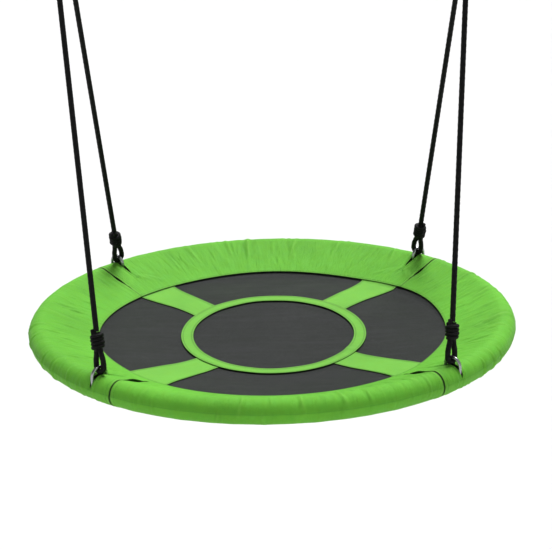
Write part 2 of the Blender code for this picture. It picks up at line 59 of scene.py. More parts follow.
CORNERS = {"front_left": 225.0, "front_right": 315.0, "back_left": 135.0, "back_right": 45.0}
SIDES = {"front": 270.0, "right": 0.0, "back": 90.0, "left": 180.0}
SEAM_ANGLES = {"front_left": 231.0, "front_right": 309.0, "back_right": 39.0, "back_left": 141.0}
COVER_SPANS = {"front": (231.0, 309.0), "right": (-51.0, 39.0), "back": (39.0, 141.0), "left": (141.0, 231.0)}
COVER_SLITS = {"front": (), "right": (-45.0,), "back": (45.0, 135.0), "left": (225.0,)}


def joint_place(name):
    """Where a joint of the frame is, in metres."""
    return Vector(next(joint["pos_m"] for joint in frame["joints"] if joint["name"] == name))


TUBE_LOW, TUBE_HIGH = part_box("frame_tube_back_right")
RIM_Z = (TUBE_LOW.z + TUBE_HIGH.z) / 2.0
LEFT_RING_CENTRE = joint_place("swing_sideways")
HALF_SPACING = -LEFT_RING_CENTRE.x
RING_CENTRE_Z = LEFT_RING_CENTRE.z


# ---------------------------------------------------------------- sizes and finishes

def length(name, description, default):
    return FloatProperty(name=name, description=description, default=default, min=0.0, unit="LENGTH",
                         subtype="DISTANCE", precision=4)


def colour(name, description, default):
    return FloatVectorProperty(name=name, description=description, default=default, size=3, min=0.0, max=1.0,
                               subtype="COLOR")


class NestSwingSeatSizes(bpy.types.PropertyGroup):
    """Sizes of the padded ring, its cover and the mat"""
    rim_radius: length("Ring radius", "Seat axis to the middle of the tube", 0.474)
    tube_radius: length("Tube radius", "Radius of the steel tube", 0.014)
    foam_radius: length("Foam radius", "Outside radius of the foam sleeves", 0.0226)
    cover_radius: length("Cover radius", "Radius of the cover round the foam", 0.02465)
    cover_cloth: length("Cover cloth", "Thickness of the cover cloth", 0.0011)
    skirt_inner: length("Skirt edge", "Radius of the skirt's inner edge", 0.358)
    skirt_drop: length("Skirt drop", "Depth of the skirt's inner edge below the ring's middle", 0.0185)
    skirt_tangent: FloatProperty(name="Skirt tangent", description="Angle where the skirt leaves the tube",
                                 default=math.radians(111.0), subtype="ANGLE")
    mat_radius: length("Mat radius", "Radius of the cut mat", 0.378)
    mat_flat: length("Mat flat", "Radius of the flat middle of the mat", 0.100)
    mat_drop: length("Mat drop", "Depth of the mat's middle below the ring's middle", 0.030)
    mat_lean: length("Mat lean", "How much deeper the mat sags towards the front", 0.0135)
    band_cloth: length("Band cloth", "Thickness of the bands sewn on the mat", 0.0009)
    ring_band_outer: length("Ring band radius", "Outside radius of the ring band", 0.1915)
    ring_band_width: length("Ring band width", "Width of the ring band", 0.0255)
    ring_band_shift: length("Ring band shift", "How far right and forward the ring band was sewn", 0.0028)
    hoop_rod: length("Hoop rod radius", "Radius of the hoops' steel rod", 0.00325)
    hoop_height: length("Hoop height", "Height of the hoop's rod above the ring's middle", 0.041)


class NestSwingRopeSizes(bpy.types.PropertyGroup):
    """Sizes of the ropes and their steel hanging gear"""
    rope_radius: length("Rope radius", "Radius of the braided rope", 0.005)
    braid_step: length("Braid step", "Length of one crossing of the braid", 0.0125)
    knot_start: length("Eye height", "Length of the eye below the knot", 0.030)
    knot_length: length("Knot length", "Length of the wrapped knot", 0.038)
    knot_radius: length("Knot radius", "Outside radius of the wrapped knot", 0.0135)
    wraps: IntProperty(name="Wraps", description="Turns of rope in a knot", default=5, min=2, max=9)
    lower_slack: length("Lower eye slack", "Room between the lower eye and its hoop", 0.0018)
    upper_slack: length("Upper eye slack", "Room between the upper eye and its ring", 0.0026)
    eye_lean: FloatProperty(name="Eye lean", description="How far round its hoop the pull draws an eye",
                            default=math.radians(13.0), subtype="ANGLE")
    upper_shift: length("Upper eye shift", "How far the upper eyes sit from the ring's lowest point", 0.007)
    ring_rod: length("Ring rod radius", "Radius of the hanging ring's rod", 0.004)
    ring_bend: length("Ring bend", "Middle radius of the hanging ring", 0.026)
    hook_rod: length("Hook rod radius", "Radius of the snap hook's rod", 0.004)
    hook_length: length("Hook length", "Outside length of the snap hook", 0.068)
    hook_top: length("Hook top bend", "Bend radius of the hook's top", 0.012)
    hook_bottom: length("Hook bottom bend", "Bend radius of the hook's bottom", 0.0095)
    gate_radius: length("Gate radius", "Radius of the gate rod", 0.0034)
    gate_length: length("Gate length", "Length of the gate", 0.027)


class NestSwingFinishes(bpy.types.PropertyGroup):
    """Colours of the cloth, rope, foam and steel"""
    cover_green: colour("Cover green", "Colour of the rim cover", (0.156, 0.492, 0.046))
    band_green: colour("Band green", "Colour of the straps and the ring band", (0.186, 0.500, 0.070))
    thread_green: colour("Thread green", "Colour of the sewing thread", (0.060, 0.300, 0.022))
    mat_grey: colour("Mat grey", "Colour of the mesh mat", (0.028, 0.031, 0.029))
    rope_black: colour("Rope black", "Colour of the ropes", (0.0040, 0.0040, 0.0043))
    foam_grey: colour("Foam grey", "Colour of the foam sleeves", (0.060, 0.060, 0.064))
    zinc: colour("Bright zinc", "Colour of the plated hooks, rings and hoops", (0.46, 0.47, 0.48))
    galvanised: colour("Galvanised", "Colour of the tube", (0.50, 0.52, 0.54))
    floor: colour("Floor", "Colour of the floor", (0.69, 0.69, 0.69))


def seat_sizes():
    return bpy.context.scene.nest_swing_seat


def rope_sizes():
    return bpy.context.scene.nest_swing_rope


def finishes():
    return bpy.context.scene.nest_swing_finish


# ---------------------------------------------------------------- mesh helpers

def add_object(name, data):
    piece = bpy.data.objects.new(name, data)
    bpy.context.scene.collection.objects.link(piece)
    return piece


def write_uv(mesh, values):
    layer = mesh.uv_layers.new(name="cloth")
    layer.data.foreach_set("uv", np.asarray(values, np.float32).ravel())


def grid_mesh(name, points, uv, closed_columns=False, caps=False, split=None, fields=None):
    """Mesh through rows and columns of points; split lists (column, rows, points) cut open there."""
    rows, columns = points.shape[:2]
    index = np.arange(rows * columns).reshape(rows, columns)
    left_index = np.concatenate([index, index[:, :1]], axis=1) if closed_columns else index.copy()
    right_index = left_index.copy()
    vertices = [points.reshape(-1, 3)]
    count = rows * columns
    extra_rows = []
    for column, cut_rows, cut_points in split or ():
        fresh = np.arange(count, count + len(cut_rows))
        right_index[cut_rows, column] = fresh
        vertices.append(cut_points)
        extra_rows.append((cut_rows, column))
        count += len(cut_rows)
    corners = (right_index[:-1, :-1], left_index[:-1, 1:], left_index[1:, 1:], right_index[1:, :-1])
    quads = np.stack(corners, axis=-1).reshape(-1, 4)
    loops = np.stack([uv[:-1, :-1], uv[:-1, 1:], uv[1:, 1:], uv[1:, :-1]], axis=2).reshape(-1, 2)
    faces = quads.tolist()
    vertices = np.concatenate(vertices)
    if caps:
        for ring, turn in ((left_index[0, :-1], -1), (left_index[-1, :-1], 1)):
            faces.append(ring[::turn].tolist())
            loops = np.concatenate([loops, np.tile(uv[0, 0], (len(ring), 1))])
    mesh = bpy.data.meshes.new(name)
    mesh.from_pydata(vertices.tolist(), [], faces)
    write_uv(mesh, loops)
    for field, values in (fields or {}).items():
        flat = [values.ravel()] + [values[cut_rows, column] for cut_rows, column in extra_rows]
        layer = mesh.attributes.new(field, "FLOAT", "POINT")
        layer.data.foreach_set("value", np.concatenate(flat).astype(np.float32))
    mesh.shade_smooth()
    return mesh


def freeze(piece):
    """Turn a piece with its modifiers into a plain mesh."""
    graph = bpy.context.evaluated_depsgraph_get()
    mesh = bpy.data.meshes.new_from_object(piece.evaluated_get(graph), preserve_all_data_layers=True,
                                           depsgraph=graph)
    piece.modifiers.clear()
    piece.data = mesh
    return piece


def solidify(piece, thickness):
    wall = piece.modifiers.new("Cloth", "SOLIDIFY")
    wall.thickness = thickness
    wall.offset = 0.0
    wall.use_rim = True
    return freeze(piece)


def settle(piece, material, body, nodes=(), sharp=50.0):
    """Give a finished piece its material, its body and the frame's nodes that it stands for."""
    if material is not None:
        piece.data.materials.clear()
        piece.data.materials.append(material)
    piece.data.shade_smooth()
    piece.data.set_sharp_from_angle(angle=math.radians(sharp))
    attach(piece, body)
    if nodes:
        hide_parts(*nodes)
    return piece


def smooth_path(points, step, closed=False, rounds=6):
    """Even points along a rounded path through the given corners."""
    points = np.asarray(points, float)
    loop = np.concatenate([points, points[:1]]) if closed else points
    for spacing in (step / 3.0, step):
        lengths = np.concatenate([[0.0], np.cumsum(np.linalg.norm(np.diff(loop, axis=0), axis=1))])
        count = max(3, int(round(lengths[-1] / spacing)) + 1)
        even = np.linspace(0.0, lengths[-1], count)
        loop = np.stack([np.interp(even, lengths, loop[:, k]) for k in range(loop.shape[1])], axis=1)
        if spacing != step:
            for _ in range(rounds * 4):
                if closed:
                    ring = loop[:-1]
                    ring = (np.roll(ring, 1, axis=0) + 2.0 * ring + np.roll(ring, -1, axis=0)) / 4.0
                    loop = np.concatenate([ring, ring[:1]])
                else:
                    loop[1:-1] = (loop[:-2] + 2.0 * loop[1:-1] + loop[2:]) / 4.0
    return loop[:-1] if closed else loop


def path_frames(points, closed=False):
    """Tangents and two turning-free side directions along a path."""
    if closed:
        tangents = np.roll(points, -1, axis=0) - np.roll(points, 1, axis=0)
    else:
        tangents = np.gradient(points, axis=0)
    tangents /= np.linalg.norm(tangents, axis=1, keepdims=True)
    side = np.array(Vector(tangents[0]).orthogonal().normalized())
    sides = []
    for tangent in tangents:
        side = side - tangent * side.dot(tangent)
        side = side / np.linalg.norm(side)
        sides.append(side)
    sides = np.array(sides)
    if closed:
        last = sides[-1] - tangents[0] * sides[-1].dot(tangents[0])
        drift = math.atan2(np.cross(sides[0], last).dot(tangents[0]), sides[0].dot(last))
        turn = -drift * np.arange(len(points)) / len(points)
        others = np.cross(tangents, sides)
        sides = sides * np.cos(turn)[:, None] + others * np.sin(turn)[:, None]
    return tangents, sides, np.cross(tangents, sides)


def braid_relief(around, along, step):
    """Height, from 0 to 1, of a round braid of four strands."""
    first = 2.0 * around + along / step
    second = 2.0 * around - along / step
    ridge = [1.0 - (2.0 * (value - np.floor(value)) - 1.0) ** 2 for value in (first, second)]
    over = np.where(np.floor(first) % 2.0 == 0.0, 1.0, -1.0) * np.sin(math.pi * second)
    under = -np.where(np.floor(second) % 2.0 == 0.0, 1.0, -1.0) * np.sin(math.pi * first)
    height = np.maximum(0.6 * ridge[0] + 0.4 * over, 0.6 * ridge[1] + 0.4 * under)
    return np.clip(height, 0.0, 1.0)


def rope_mesh(name, points, radius, closed=False, sides=20, swell=None, relief=0.34, start=0.0):
    """Braided rope along a path, with the braid's strands as real relief."""
    step = rope_sizes().braid_step
    points = np.asarray(points, float)
    if closed:
        total = np.linalg.norm(np.roll(points, -1, axis=0) - points, axis=1).sum()
        step = total / max(2.0, round(total / step / 2.0) * 2.0)
    _, side, other = path_frames(points, closed)
    if closed:
        points, side, other = (np.concatenate([rows, rows[:1]]) for rows in (points, side, other))
    along = np.concatenate([[0.0], np.cumsum(np.linalg.norm(np.diff(points, axis=0), axis=1))]) + start
    around = np.arange(sides) / sides
    turns = 2.0 * math.pi * around
    height = braid_relief(around[None, :], along[:, None], step)
    thick = radius * (1.0 + relief * (0.85 * height - 0.45))
    if swell is not None:
        thick = thick * np.asarray(swell)[:, None]
    rim = np.cos(turns)[None, :, None] * side[:, None, :] + np.sin(turns)[None, :, None] * other[:, None, :]
    grid = points[:, None, :] + thick[:, :, None] * rim
    uv = np.stack(np.broadcast_arrays(np.append(around, 1.0)[None, :] * 4.0, along[:, None] / step), axis=-1)
    if closed:
        mesh = grid_mesh(name, grid, uv, closed_columns=True)
        weld = bmesh.new()
        weld.from_mesh(mesh)
        bmesh.ops.remove_doubles(weld, verts=weld.verts, dist=1e-6)
        bmesh.ops.recalc_face_normals(weld, faces=weld.faces)
        weld.to_mesh(mesh)
        weld.free()
        return mesh
    mesh = grid_mesh(name, grid, uv, closed_columns=True, caps=True)
    return outward(mesh)


def outward(mesh):
    shape = bmesh.new()
    shape.from_mesh(mesh)
    bmesh.ops.recalc_face_normals(shape, faces=shape.faces)
    shape.to_mesh(mesh)
    shape.free()
    return mesh


def join_meshes(name, meshes):
    """One mesh from several, keeping their maps."""
    shape = bmesh.new()
    for mesh in meshes:
        shape.from_mesh(mesh)
    joined = bpy.data.meshes.new(name)
    shape.to_mesh(joined)
    shape.free()
    joined.shade_smooth()
    return joined


def turned_mesh(name, outline, origin, axis, sides=32):
    """Solid of revolution from (distance along the axis, radius) pairs."""
    axis = Vector(axis).normalized()
    side = np.array(axis.orthogonal().normalized())
    other = np.cross(np.array(axis), side)
    turns = 2.0 * math.pi * np.arange(sides) / sides
    rim = np.cos(turns)[:, None] * side + np.sin(turns)[:, None] * other
    outline = np.asarray(outline, float)
    grid = (np.array(origin) + outline[:, 0, None, None] * np.array(axis)
            + outline[:, 1, None, None] * rim[None, :, :])
    uv = np.zeros((len(outline), sides + 1, 2))
    uv[:, :, 0] = np.arange(sides + 1) / sides
    uv[:, :, 1] = outline[:, 0, None]
    return outward(grid_mesh(name, grid, uv, closed_columns=True, caps=True))


def box_mesh(name, centre, sizes, bevel=0.0004):
    shape = bmesh.new()
    matrix = Matrix.Translation(centre) @ Matrix.Diagonal((*sizes, 1.0))
    bmesh.ops.create_cube(shape, size=1.0, matrix=matrix)
    if bevel:
        bmesh.ops.bevel(shape, geom=shape.edges[:], offset=bevel, segments=2, affect="EDGES")
    mesh = bpy.data.meshes.new(name)
    shape.to_mesh(mesh)
    shape.free()
    return mesh


def cut_away(piece, tool_mesh, operation="DIFFERENCE"):
    tool = add_object(piece.name + "_tool", tool_mesh)
    cutter = piece.modifiers.new("Cut", "BOOLEAN")
    cutter.operation = operation
    cutter.solver = "EXACT"
    cutter.object = tool
    freeze(piece)
    bpy.data.objects.remove(tool)
    return piece


# ---------------------------------------------------------------- geometry node trees

def new_tree(name, inputs):
    tree = bpy.data.node_groups.new(name, "GeometryNodeTree")
    tree.interface.new_socket(name="Path", in_out="INPUT", socket_type="NodeSocketGeometry")
    for title, kind in inputs:
        tree.interface.new_socket(name=title, in_out="INPUT", socket_type=kind)
    tree.interface.new_socket(name="Geometry", in_out="OUTPUT", socket_type="NodeSocketGeometry")
    return tree, tree.nodes.new("NodeGroupInput"), tree.nodes.new("NodeGroupOutput")


def end_tree(tree, start, finish, shape):
    """Every tree ends in real geometry with its material set."""
    real = tree.nodes.new("GeometryNodeRealizeInstances")
    paint = tree.nodes.new("GeometryNodeSetMaterial")
    tree.links.new(shape, real.inputs["Geometry"])
    tree.links.new(real.outputs["Geometry"], paint.inputs["Geometry"])
    tree.links.new(start.outputs["Material"], paint.inputs["Material"])
    tree.links.new(paint.outputs["Geometry"], finish.inputs["Geometry"])
    return tree


def rod_tree():
    """Round rod along a path, thinned at the ends by the path's own rod_share field."""
    found = bpy.data.node_groups.get("rod_along_path")
    if found:
        return found
    tree, start, finish = new_tree("rod_along_path", [
        ("Rod radius", "NodeSocketFloat"), ("Sides", "NodeSocketInt"), ("Material", "NodeSocketMaterial")])
    curve = tree.nodes.new("GeometryNodeMeshToCurve")
    ring = tree.nodes.new("GeometryNodeCurvePrimitiveCircle")
    share = tree.nodes.new("GeometryNodeInputNamedAttribute")
    share.data_type = "FLOAT"
    share.inputs["Name"].default_value = "rod_share"
    sweep = tree.nodes.new("GeometryNodeCurveToMesh")
    sweep.inputs["Fill Caps"].default_value = True
    tree.links.new(start.outputs["Path"], curve.inputs["Mesh"])
    tree.links.new(start.outputs["Rod radius"], ring.inputs["Radius"])
    tree.links.new(start.outputs["Sides"], ring.inputs["Resolution"])
    tree.links.new(curve.outputs["Curve"], sweep.inputs["Curve"])
    tree.links.new(share.outputs["Attribute"], sweep.inputs["Scale"])
    tree.links.new(ring.outputs["Curve"], sweep.inputs["Profile Curve"])
    return end_tree(tree, start, finish, sweep.outputs["Mesh"])


def stitch_tree():
    """Small thread stitches set at an even step along every path."""
    found = bpy.data.node_groups.get("stitches_along_path")
    if found:
        return found
    tree, start, finish = new_tree("stitches_along_path", [
        ("Stitch step", "NodeSocketFloat"), ("Stitch length", "NodeSocketFloat"),
        ("Thread thickness", "NodeSocketFloat"), ("Material", "NodeSocketMaterial")])
    curve = tree.nodes.new("GeometryNodeMeshToCurve")
    even = tree.nodes.new("GeometryNodeResampleCurve")
    even.mode = "LENGTH"
    thread = tree.nodes.new("GeometryNodeMeshUVSphere")
    thread.inputs["Segments"].default_value = 6
    thread.inputs["Rings"].default_value = 4
    thread.inputs["Radius"].default_value = 0.5
    tangent = tree.nodes.new("GeometryNodeInputTangent")
    align = tree.nodes.new("FunctionNodeAlignRotationToVector")
    align.axis = "X"
    size = tree.nodes.new("ShaderNodeCombineXYZ")
    place = tree.nodes.new("GeometryNodeInstanceOnPoints")
    tree.links.new(start.outputs["Path"], curve.inputs["Mesh"])
    tree.links.new(curve.outputs["Curve"], even.inputs["Curve"])
    tree.links.new(start.outputs["Stitch step"], even.inputs["Length"])
    tree.links.new(tangent.outputs["Tangent"], align.inputs["Vector"])
    tree.links.new(start.outputs["Stitch length"], size.inputs["X"])
    tree.links.new(start.outputs["Thread thickness"], size.inputs["Y"])
    tree.links.new(start.outputs["Thread thickness"], size.inputs["Z"])
    tree.links.new(even.outputs["Curve"], place.inputs["Points"])
    tree.links.new(thread.outputs["Mesh"], place.inputs["Instance"])
    tree.links.new(align.outputs["Rotation"], place.inputs["Rotation"])
    tree.links.new(size.outputs["Vector"], place.inputs["Scale"])
    return end_tree(tree, start, finish, place.outputs["Instances"])


def path_object(name, paths, closed=False, shares=None):
    """Object of bare edges, one polyline for each path."""
    vertices, edges, values = [], [], []
    for number, points in enumerate(paths):
        first = len(vertices)
        vertices += [tuple(point) for point in points]
        edges += [(first + k, first + k + 1) for k in range(len(points) - 1)]
        if closed:
            edges.append((first + len(points) - 1, first))
        values += list(shares[number]) if shares else [1.0] * len(points)
    mesh = bpy.data.meshes.new(name)
    mesh.from_pydata(vertices, edges, [])
    mesh.attributes.new("rod_share", "FLOAT", "POINT").data.foreach_set("value", values)
    return add_object(name, mesh)


def run_tree(piece, tree, values):
    """Run a tree on a piece, with its inputs set by identifier, and keep the result as a plain mesh."""
    modifier = piece.modifiers.new("Shape", "NODES")
    modifier.node_group = tree
    for item in tree.interface.items_tree:
        if item.item_type == "SOCKET" and item.in_out == "INPUT" and item.name in values:
            modifier[item.identifier] = values[item.name]
    return freeze(piece)


def rod_piece(name, points, radius, material, closed=False, sides=24, blunt=True):
    points = smooth_path(points, radius * 0.45, closed=closed, rounds=3)
    shares = np.ones(len(points))
    if blunt and not closed:
        shares[[0, -1]] = 0.62
        shares[[1, -2]] = 0.88
    piece = path_object(name, [points], closed=closed, shares=[shares])
    return run_tree(piece, rod_tree(), {"Rod radius": radius, "Sides": sides, "Material": material})


# ---------------------------------------------------------------- materials

class Shader:
    """Small helper that adds nodes to one material."""

    def __init__(self, name):
        self.material = bpy.data.materials.new(name)
        self.material.use_nodes = True
        self.tree = self.material.node_tree
        self.surface = self.tree.nodes["Principled BSDF"]

    def node(self, kind, **settings):
        made = self.tree.nodes.new(kind)
        for key, value in settings.items():
            setattr(made, key, value)
        return made

    def put(self, socket, value):
        if hasattr(value, "is_output"):
            self.tree.links.new(value, socket)
        else:
            socket.default_value = value

    def maths(self, operation, *values):
        made = self.node("ShaderNodeMath", operation=operation)
        for socket, value in zip(made.inputs, values):
            self.put(socket, value)
        return made.outputs[0]

    def place(self, scale, source="Object"):
        """Scaled coordinates of the object or of the piece's own map."""
        if source == "map":
            origin = self.node("ShaderNodeUVMap", uv_map="cloth").outputs["UV"]
        else:
            origin = self.node("ShaderNodeTexCoord").outputs["Object"]
        mapping = self.node("ShaderNodeMapping")
        mapping.inputs["Scale"].default_value = scale
        self.tree.links.new(origin, mapping.inputs["Vector"])
        return mapping.outputs["Vector"]

    def noise(self, vector, scale, detail=3.0, roughness=0.55):
        made = self.node("ShaderNodeTexNoise")
        self.put(made.inputs["Vector"], vector)
        made.inputs["Scale"].default_value = scale
        made.inputs["Detail"].default_value = detail
        made.inputs["Roughness"].default_value = roughness
        return made.outputs["Fac"]

    def spread(self, value, low, high, to_low, to_high):
        made = self.node("ShaderNodeMapRange")
        for key, number in (("Value", value), ("From Min", low), ("From Max", high), ("To Min", to_low),
                            ("To Max", to_high)):
            self.put(made.inputs[key], number)
        return made.outputs["Result"]

    def mix(self, share, first, second):
        made = self.node("ShaderNodeMix", data_type="RGBA")
        self.put(made.inputs[0], share)
        self.put(made.inputs[6], first)
        self.put(made.inputs[7], second)
        return made.outputs[2]

    def field(self, name):
        made = self.node("ShaderNodeAttribute", attribute_name=name)
        return made.outputs["Fac"]

    def bump(self, height, strength, distance, normal=None):
        made = self.node("ShaderNodeBump")
        made.inputs["Strength"].default_value = strength
        made.inputs["Distance"].default_value = distance
        self.put(made.inputs["Height"], height)
        if normal is not None:
            self.put(made.inputs["Normal"], normal)
        return made.outputs["Normal"]

    def set(self, **values):
        for key, value in values.items():
            self.put(self.surface.inputs[key.replace("_", " ")], value)
        return self.material


def shaded(tint, factor):
    return (*[min(1.0, channel * factor) for channel in tint], 1.0)


def weave(shader, vector):
    """Height and checker of a plain weave whose threads are one unit apart."""
    parts = shader.node("ShaderNodeSeparateXYZ")
    shader.put(parts.inputs[0], vector)
    turns = [shader.maths("MULTIPLY", parts.outputs[k], math.pi) for k in (0, 1)]
    waves = [shader.maths("ABSOLUTE", shader.maths("SINE", turn)) for turn in turns]
    check = shader.node("ShaderNodeTexChecker")
    shader.put(check.inputs["Vector"], vector)
    check.inputs["Scale"].default_value = 1.0
    height = shader.node("ShaderNodeMix", data_type="FLOAT")
    shader.put(height.inputs[0], check.outputs["Fac"])
    shader.put(height.inputs[2], waves[0])
    shader.put(height.inputs[3], waves[1])
    return height.outputs[0], check.outputs["Fac"]


def woven_green(name, tint, pitch, source, sheen, wrinkle):
    """Coated polyester cloth: fine plain weave, uneven dye, pale edges from wear with a painted highlight on
    fold tops, and painted shade in folds, seams and along edges.
    """
    shader = Shader(name)
    threads, check = weave(shader, shader.place((1.0 / pitch, 1.0 / pitch, 1.0), source))
    cloudy = shader.noise(shader.place((1.0, 1.0, 1.0)), 7.0, 4.0)
    mottled = shader.noise(shader.place((1.0, 1.0, 1.0)), 60.0, 3.0, 0.6)
    tone = shader.mix(shader.spread(cloudy, 0.3, 0.7, 0.0, 1.0), shaded(tint, 0.90), shaded(tint, 1.08))
    warm = shaded((tint[0] * 1.3, tint[1], tint[2]), 1.0)
    tone = shader.mix(shader.spread(mottled, 0.35, 0.7, 0.0, 0.35), tone, warm)
    tone = shader.mix(shader.maths("MULTIPLY", check, 0.06), tone, shaded(tint, 0.6))
    # Paler cloth from this field: real wear along hems and edges, and a painted highlight on the tops of
    # folds.
    tone = shader.mix(shader.maths("MULTIPLY", shader.field("wear_and_highlight"), 0.45), tone,
                      (tint[0] * 1.8, tint[1] * 1.22, tint[2] * 2.4, 1.0))
    # Painted shade: darker cloth in fold hollows, along seam gaps, under the skirt's edge and at band hems
    # and stitch lines.
    tone = shader.mix(shader.maths("MULTIPLY", shader.field("painted_shade"), 0.85), tone, shaded(tint, 0.30))
    rough = shader.spread(mottled, 0.3, 0.7, 0.60, 0.72)
    fine = shader.bump(threads, 0.55, pitch * 0.25)
    soft = shader.bump(shader.noise(shader.place((1.0, 1.0, 1.0)), 38.0, 4.0, 0.6), 0.35, 0.0012, fine)
    if wrinkle:
        puckers = shader.noise(shader.place((70.0, 14.0, 1.0), "map"), 1.0, 3.5, 0.5)
        soft = shader.bump(puckers, 0.8, wrinkle, soft)
    shader.surface.inputs["Sheen Weight"].default_value = sheen
    shader.surface.inputs["Sheen Roughness"].default_value = 0.45
    shader.surface.inputs["Sheen Tint"].default_value = (0.9, 1.0, 0.85, 1.0)
    shader.surface.inputs["Specular IOR Level"].default_value = 0.28
    return shader.set(Base_Color=tone, Roughness=rough, Normal=soft)


def mesh_grey(name, tint, pitch):
    """Coated mesh: dark round threads with small square holes between them and a dusty bloom."""
    shader = Shader(name)
    vector = shader.place((1.0 / pitch, 1.0 / pitch, 1.0), "map")
    threads, check = weave(shader, vector)
    dust = shader.noise(shader.place((1.0, 1.0, 1.0)), 9.0, 5.0, 0.6)
    streak = shader.noise(shader.place((6.0, 90.0, 1.0), "map"), 1.0, 2.0, 0.5)
    grain = shader.noise(shader.place((1.0, 1.0, 1.0)), 260.0, 2.0, 0.6)
    hole = shader.spread(threads, 0.05, 0.55, 1.0, 0.0)
    tone = shader.mix(shader.spread(dust, 0.3, 0.75, 0.0, 1.0), shaded(tint, 0.86), shaded(tint, 1.22))
    tone = shader.mix(shader.spread(streak, 0.4, 0.7, 0.0, 0.4), tone, shaded((0.052, 0.050, 0.060), 1.15))
    tone = shader.mix(shader.spread(grain, 0.42, 0.66, 0.0, 0.5), tone, shaded(tint, 2.1))
    tone = shader.mix(shader.maths("MULTIPLY", check, 0.25), tone, shaded(tint, 1.5))
    tone = shader.mix(shader.maths("MULTIPLY", hole, 0.8), tone, shaded(tint, 0.18))
    rough = shader.spread(dust, 0.3, 0.7, 0.50, 0.66)
    fine = shader.bump(threads, 0.7, pitch * 0.3)
    shader.surface.inputs["Specular IOR Level"].default_value = 0.25
    return shader.set(Base_Color=tone, Roughness=rough, Normal=fine)


def braid_black(name, tint):
    """Polypropylene braid: fine fibres along each strand and paler dust on the crowns."""
    shader = Shader(name)
    fibre = shader.noise(shader.place((14.0, 5.0, 1.0), "map"), 3.0, 3.0, 0.6)
    dust = shader.noise(shader.place((1.0, 1.0, 1.0)), 70.0, 3.0)
    tone = shader.mix(shader.spread(fibre, 0.35, 0.7, 0.0, 1.0), shaded(tint, 0.7), shaded(tint, 2.2))
    tone = shader.mix(shader.spread(dust, 0.5, 0.8, 0.0, 0.35), tone, (0.016, 0.016, 0.017, 1.0))
    fuzz = shader.bump(fibre, 0.6, 0.0006)
    shader.surface.inputs["Specular IOR Level"].default_value = 0.25
    return shader.set(Base_Color=tone, Roughness=shader.spread(fibre, 0.3, 0.7, 0.48, 0.72), Normal=fuzz)


def plated_steel(name, tint, cloud, rough_low, rough_high, spangle=False):
    """Plated steel: cloudy plating, fine scratches and duller patches."""
    shader = Shader(name)
    place = shader.place((1.0, 1.0, 1.0))
    patch = shader.noise(place, cloud, 4.0, 0.6)
    scratch = shader.noise(shader.place((60.0, 60.0, 900.0)), 1.0, 2.0, 0.5)
    if spangle:
        cells = shader.node("ShaderNodeTexVoronoi")
        shader.put(cells.inputs["Vector"], place)
        cells.inputs["Scale"].default_value = 240.0
        grey = shader.node("ShaderNodeRGBToBW")
        shader.put(grey.inputs[0], cells.outputs["Color"])
        patch = shader.maths("MULTIPLY", shader.maths("ADD", patch, grey.outputs[0]), 0.5)
    tone = shader.mix(shader.spread(patch, 0.3, 0.7, 0.0, 1.0), shaded(tint, 0.78), shaded(tint, 1.08))
    rough = shader.spread(patch, 0.3, 0.7, rough_low, rough_high)
    bumpy = shader.bump(scratch, 0.18, 0.0003)
    shader.surface.inputs["Metallic"].default_value = 1.0
    return shader.set(Base_Color=tone, Roughness=rough, Normal=bumpy)


def closed_cell_foam(name, tint):
    shader = Shader(name)
    place = shader.place((1.0, 1.0, 1.0))
    cells = shader.node("ShaderNodeTexVoronoi")
    shader.put(cells.inputs["Vector"], place)
    cells.inputs["Scale"].default_value = 900.0
    tone = shader.mix(shader.noise(place, 30.0), shaded(tint, 0.8), shaded(tint, 1.2))
    pores = shader.bump(cells.outputs["Distance"], 0.8, 0.0008)
    return shader.set(Base_Color=tone, Roughness=0.92, Normal=pores)


def hook_and_loop(name):
    shader = Shader(name)
    loops = shader.noise(shader.place((1.0, 1.0, 1.0)), 1400.0, 2.0, 0.7)
    tone = shader.mix(loops, (0.010, 0.010, 0.011, 1.0), (0.045, 0.045, 0.048, 1.0))
    shader.surface.inputs["Sheen Weight"].default_value = 0.3
    return shader.set(Base_Color=tone, Roughness=0.9, Normal=shader.bump(loops, 1.0, 0.0010))


def sewing_thread(name, tint):
    shader = Shader(name)
    twist = shader.noise(shader.place((1.0, 1.0, 1.0)), 900.0, 2.0, 0.6)
    tone = shader.mix(twist, shaded(tint, 0.7), shaded(tint, 1.35))
    return shader.set(Base_Color=tone, Roughness=0.55, Normal=shader.bump(twist, 0.6, 0.0002))


def material(name):
    """A material by its name, made when it is first asked for."""
    full = "swing_" + name
    found = bpy.data.materials.get(full)
    if found:
        return found
    tints = finishes()
    if name == "cover_cloth":
        return woven_green(full, tints.cover_green, pitch=0.00085, source="map", sheen=0.06, wrinkle=0.0048)
    if name == "band_cloth":
        return woven_green(full, tints.band_green, pitch=0.00085, source="map", sheen=0.05, wrinkle=0.0015)
    if name == "mat_mesh":
        return mesh_grey(full, tints.mat_grey, pitch=0.0021)
    if name == "rope":
        return braid_black(full, tints.rope_black)
    if name == "zinc":
        return plated_steel(full, tints.zinc, cloud=55.0, rough_low=0.22, rough_high=0.40)
    if name == "galvanised":
        return plated_steel(full, tints.galvanised, cloud=20.0, rough_low=0.34, rough_high=0.52, spangle=True)
    if name == "foam":
        return closed_cell_foam(full, tints.foam_grey)
    if name == "tape":
        return hook_and_loop(full)
    if name == "thread":
        return sewing_thread(full, tints.thread_green)
    raise ValueError(name)


# ---------------------------------------------------------------- seat surfaces

def direction(angle):
    turn = math.radians(angle)
    return Vector((math.cos(turn), math.sin(turn), 0.0))


def step_between(value, low, high):
    share = np.clip((value - low) / (high - low), 0.0, 1.0)
    return share * share * (3.0 - 2.0 * share)


def skirt_slope():
    sizes = seat_sizes()
    turn = sizes.skirt_tangent
    rise = sizes.cover_radius * math.sin(turn) + sizes.skirt_drop
    return rise / (sizes.rim_radius + sizes.cover_radius * math.cos(turn) - sizes.skirt_inner)


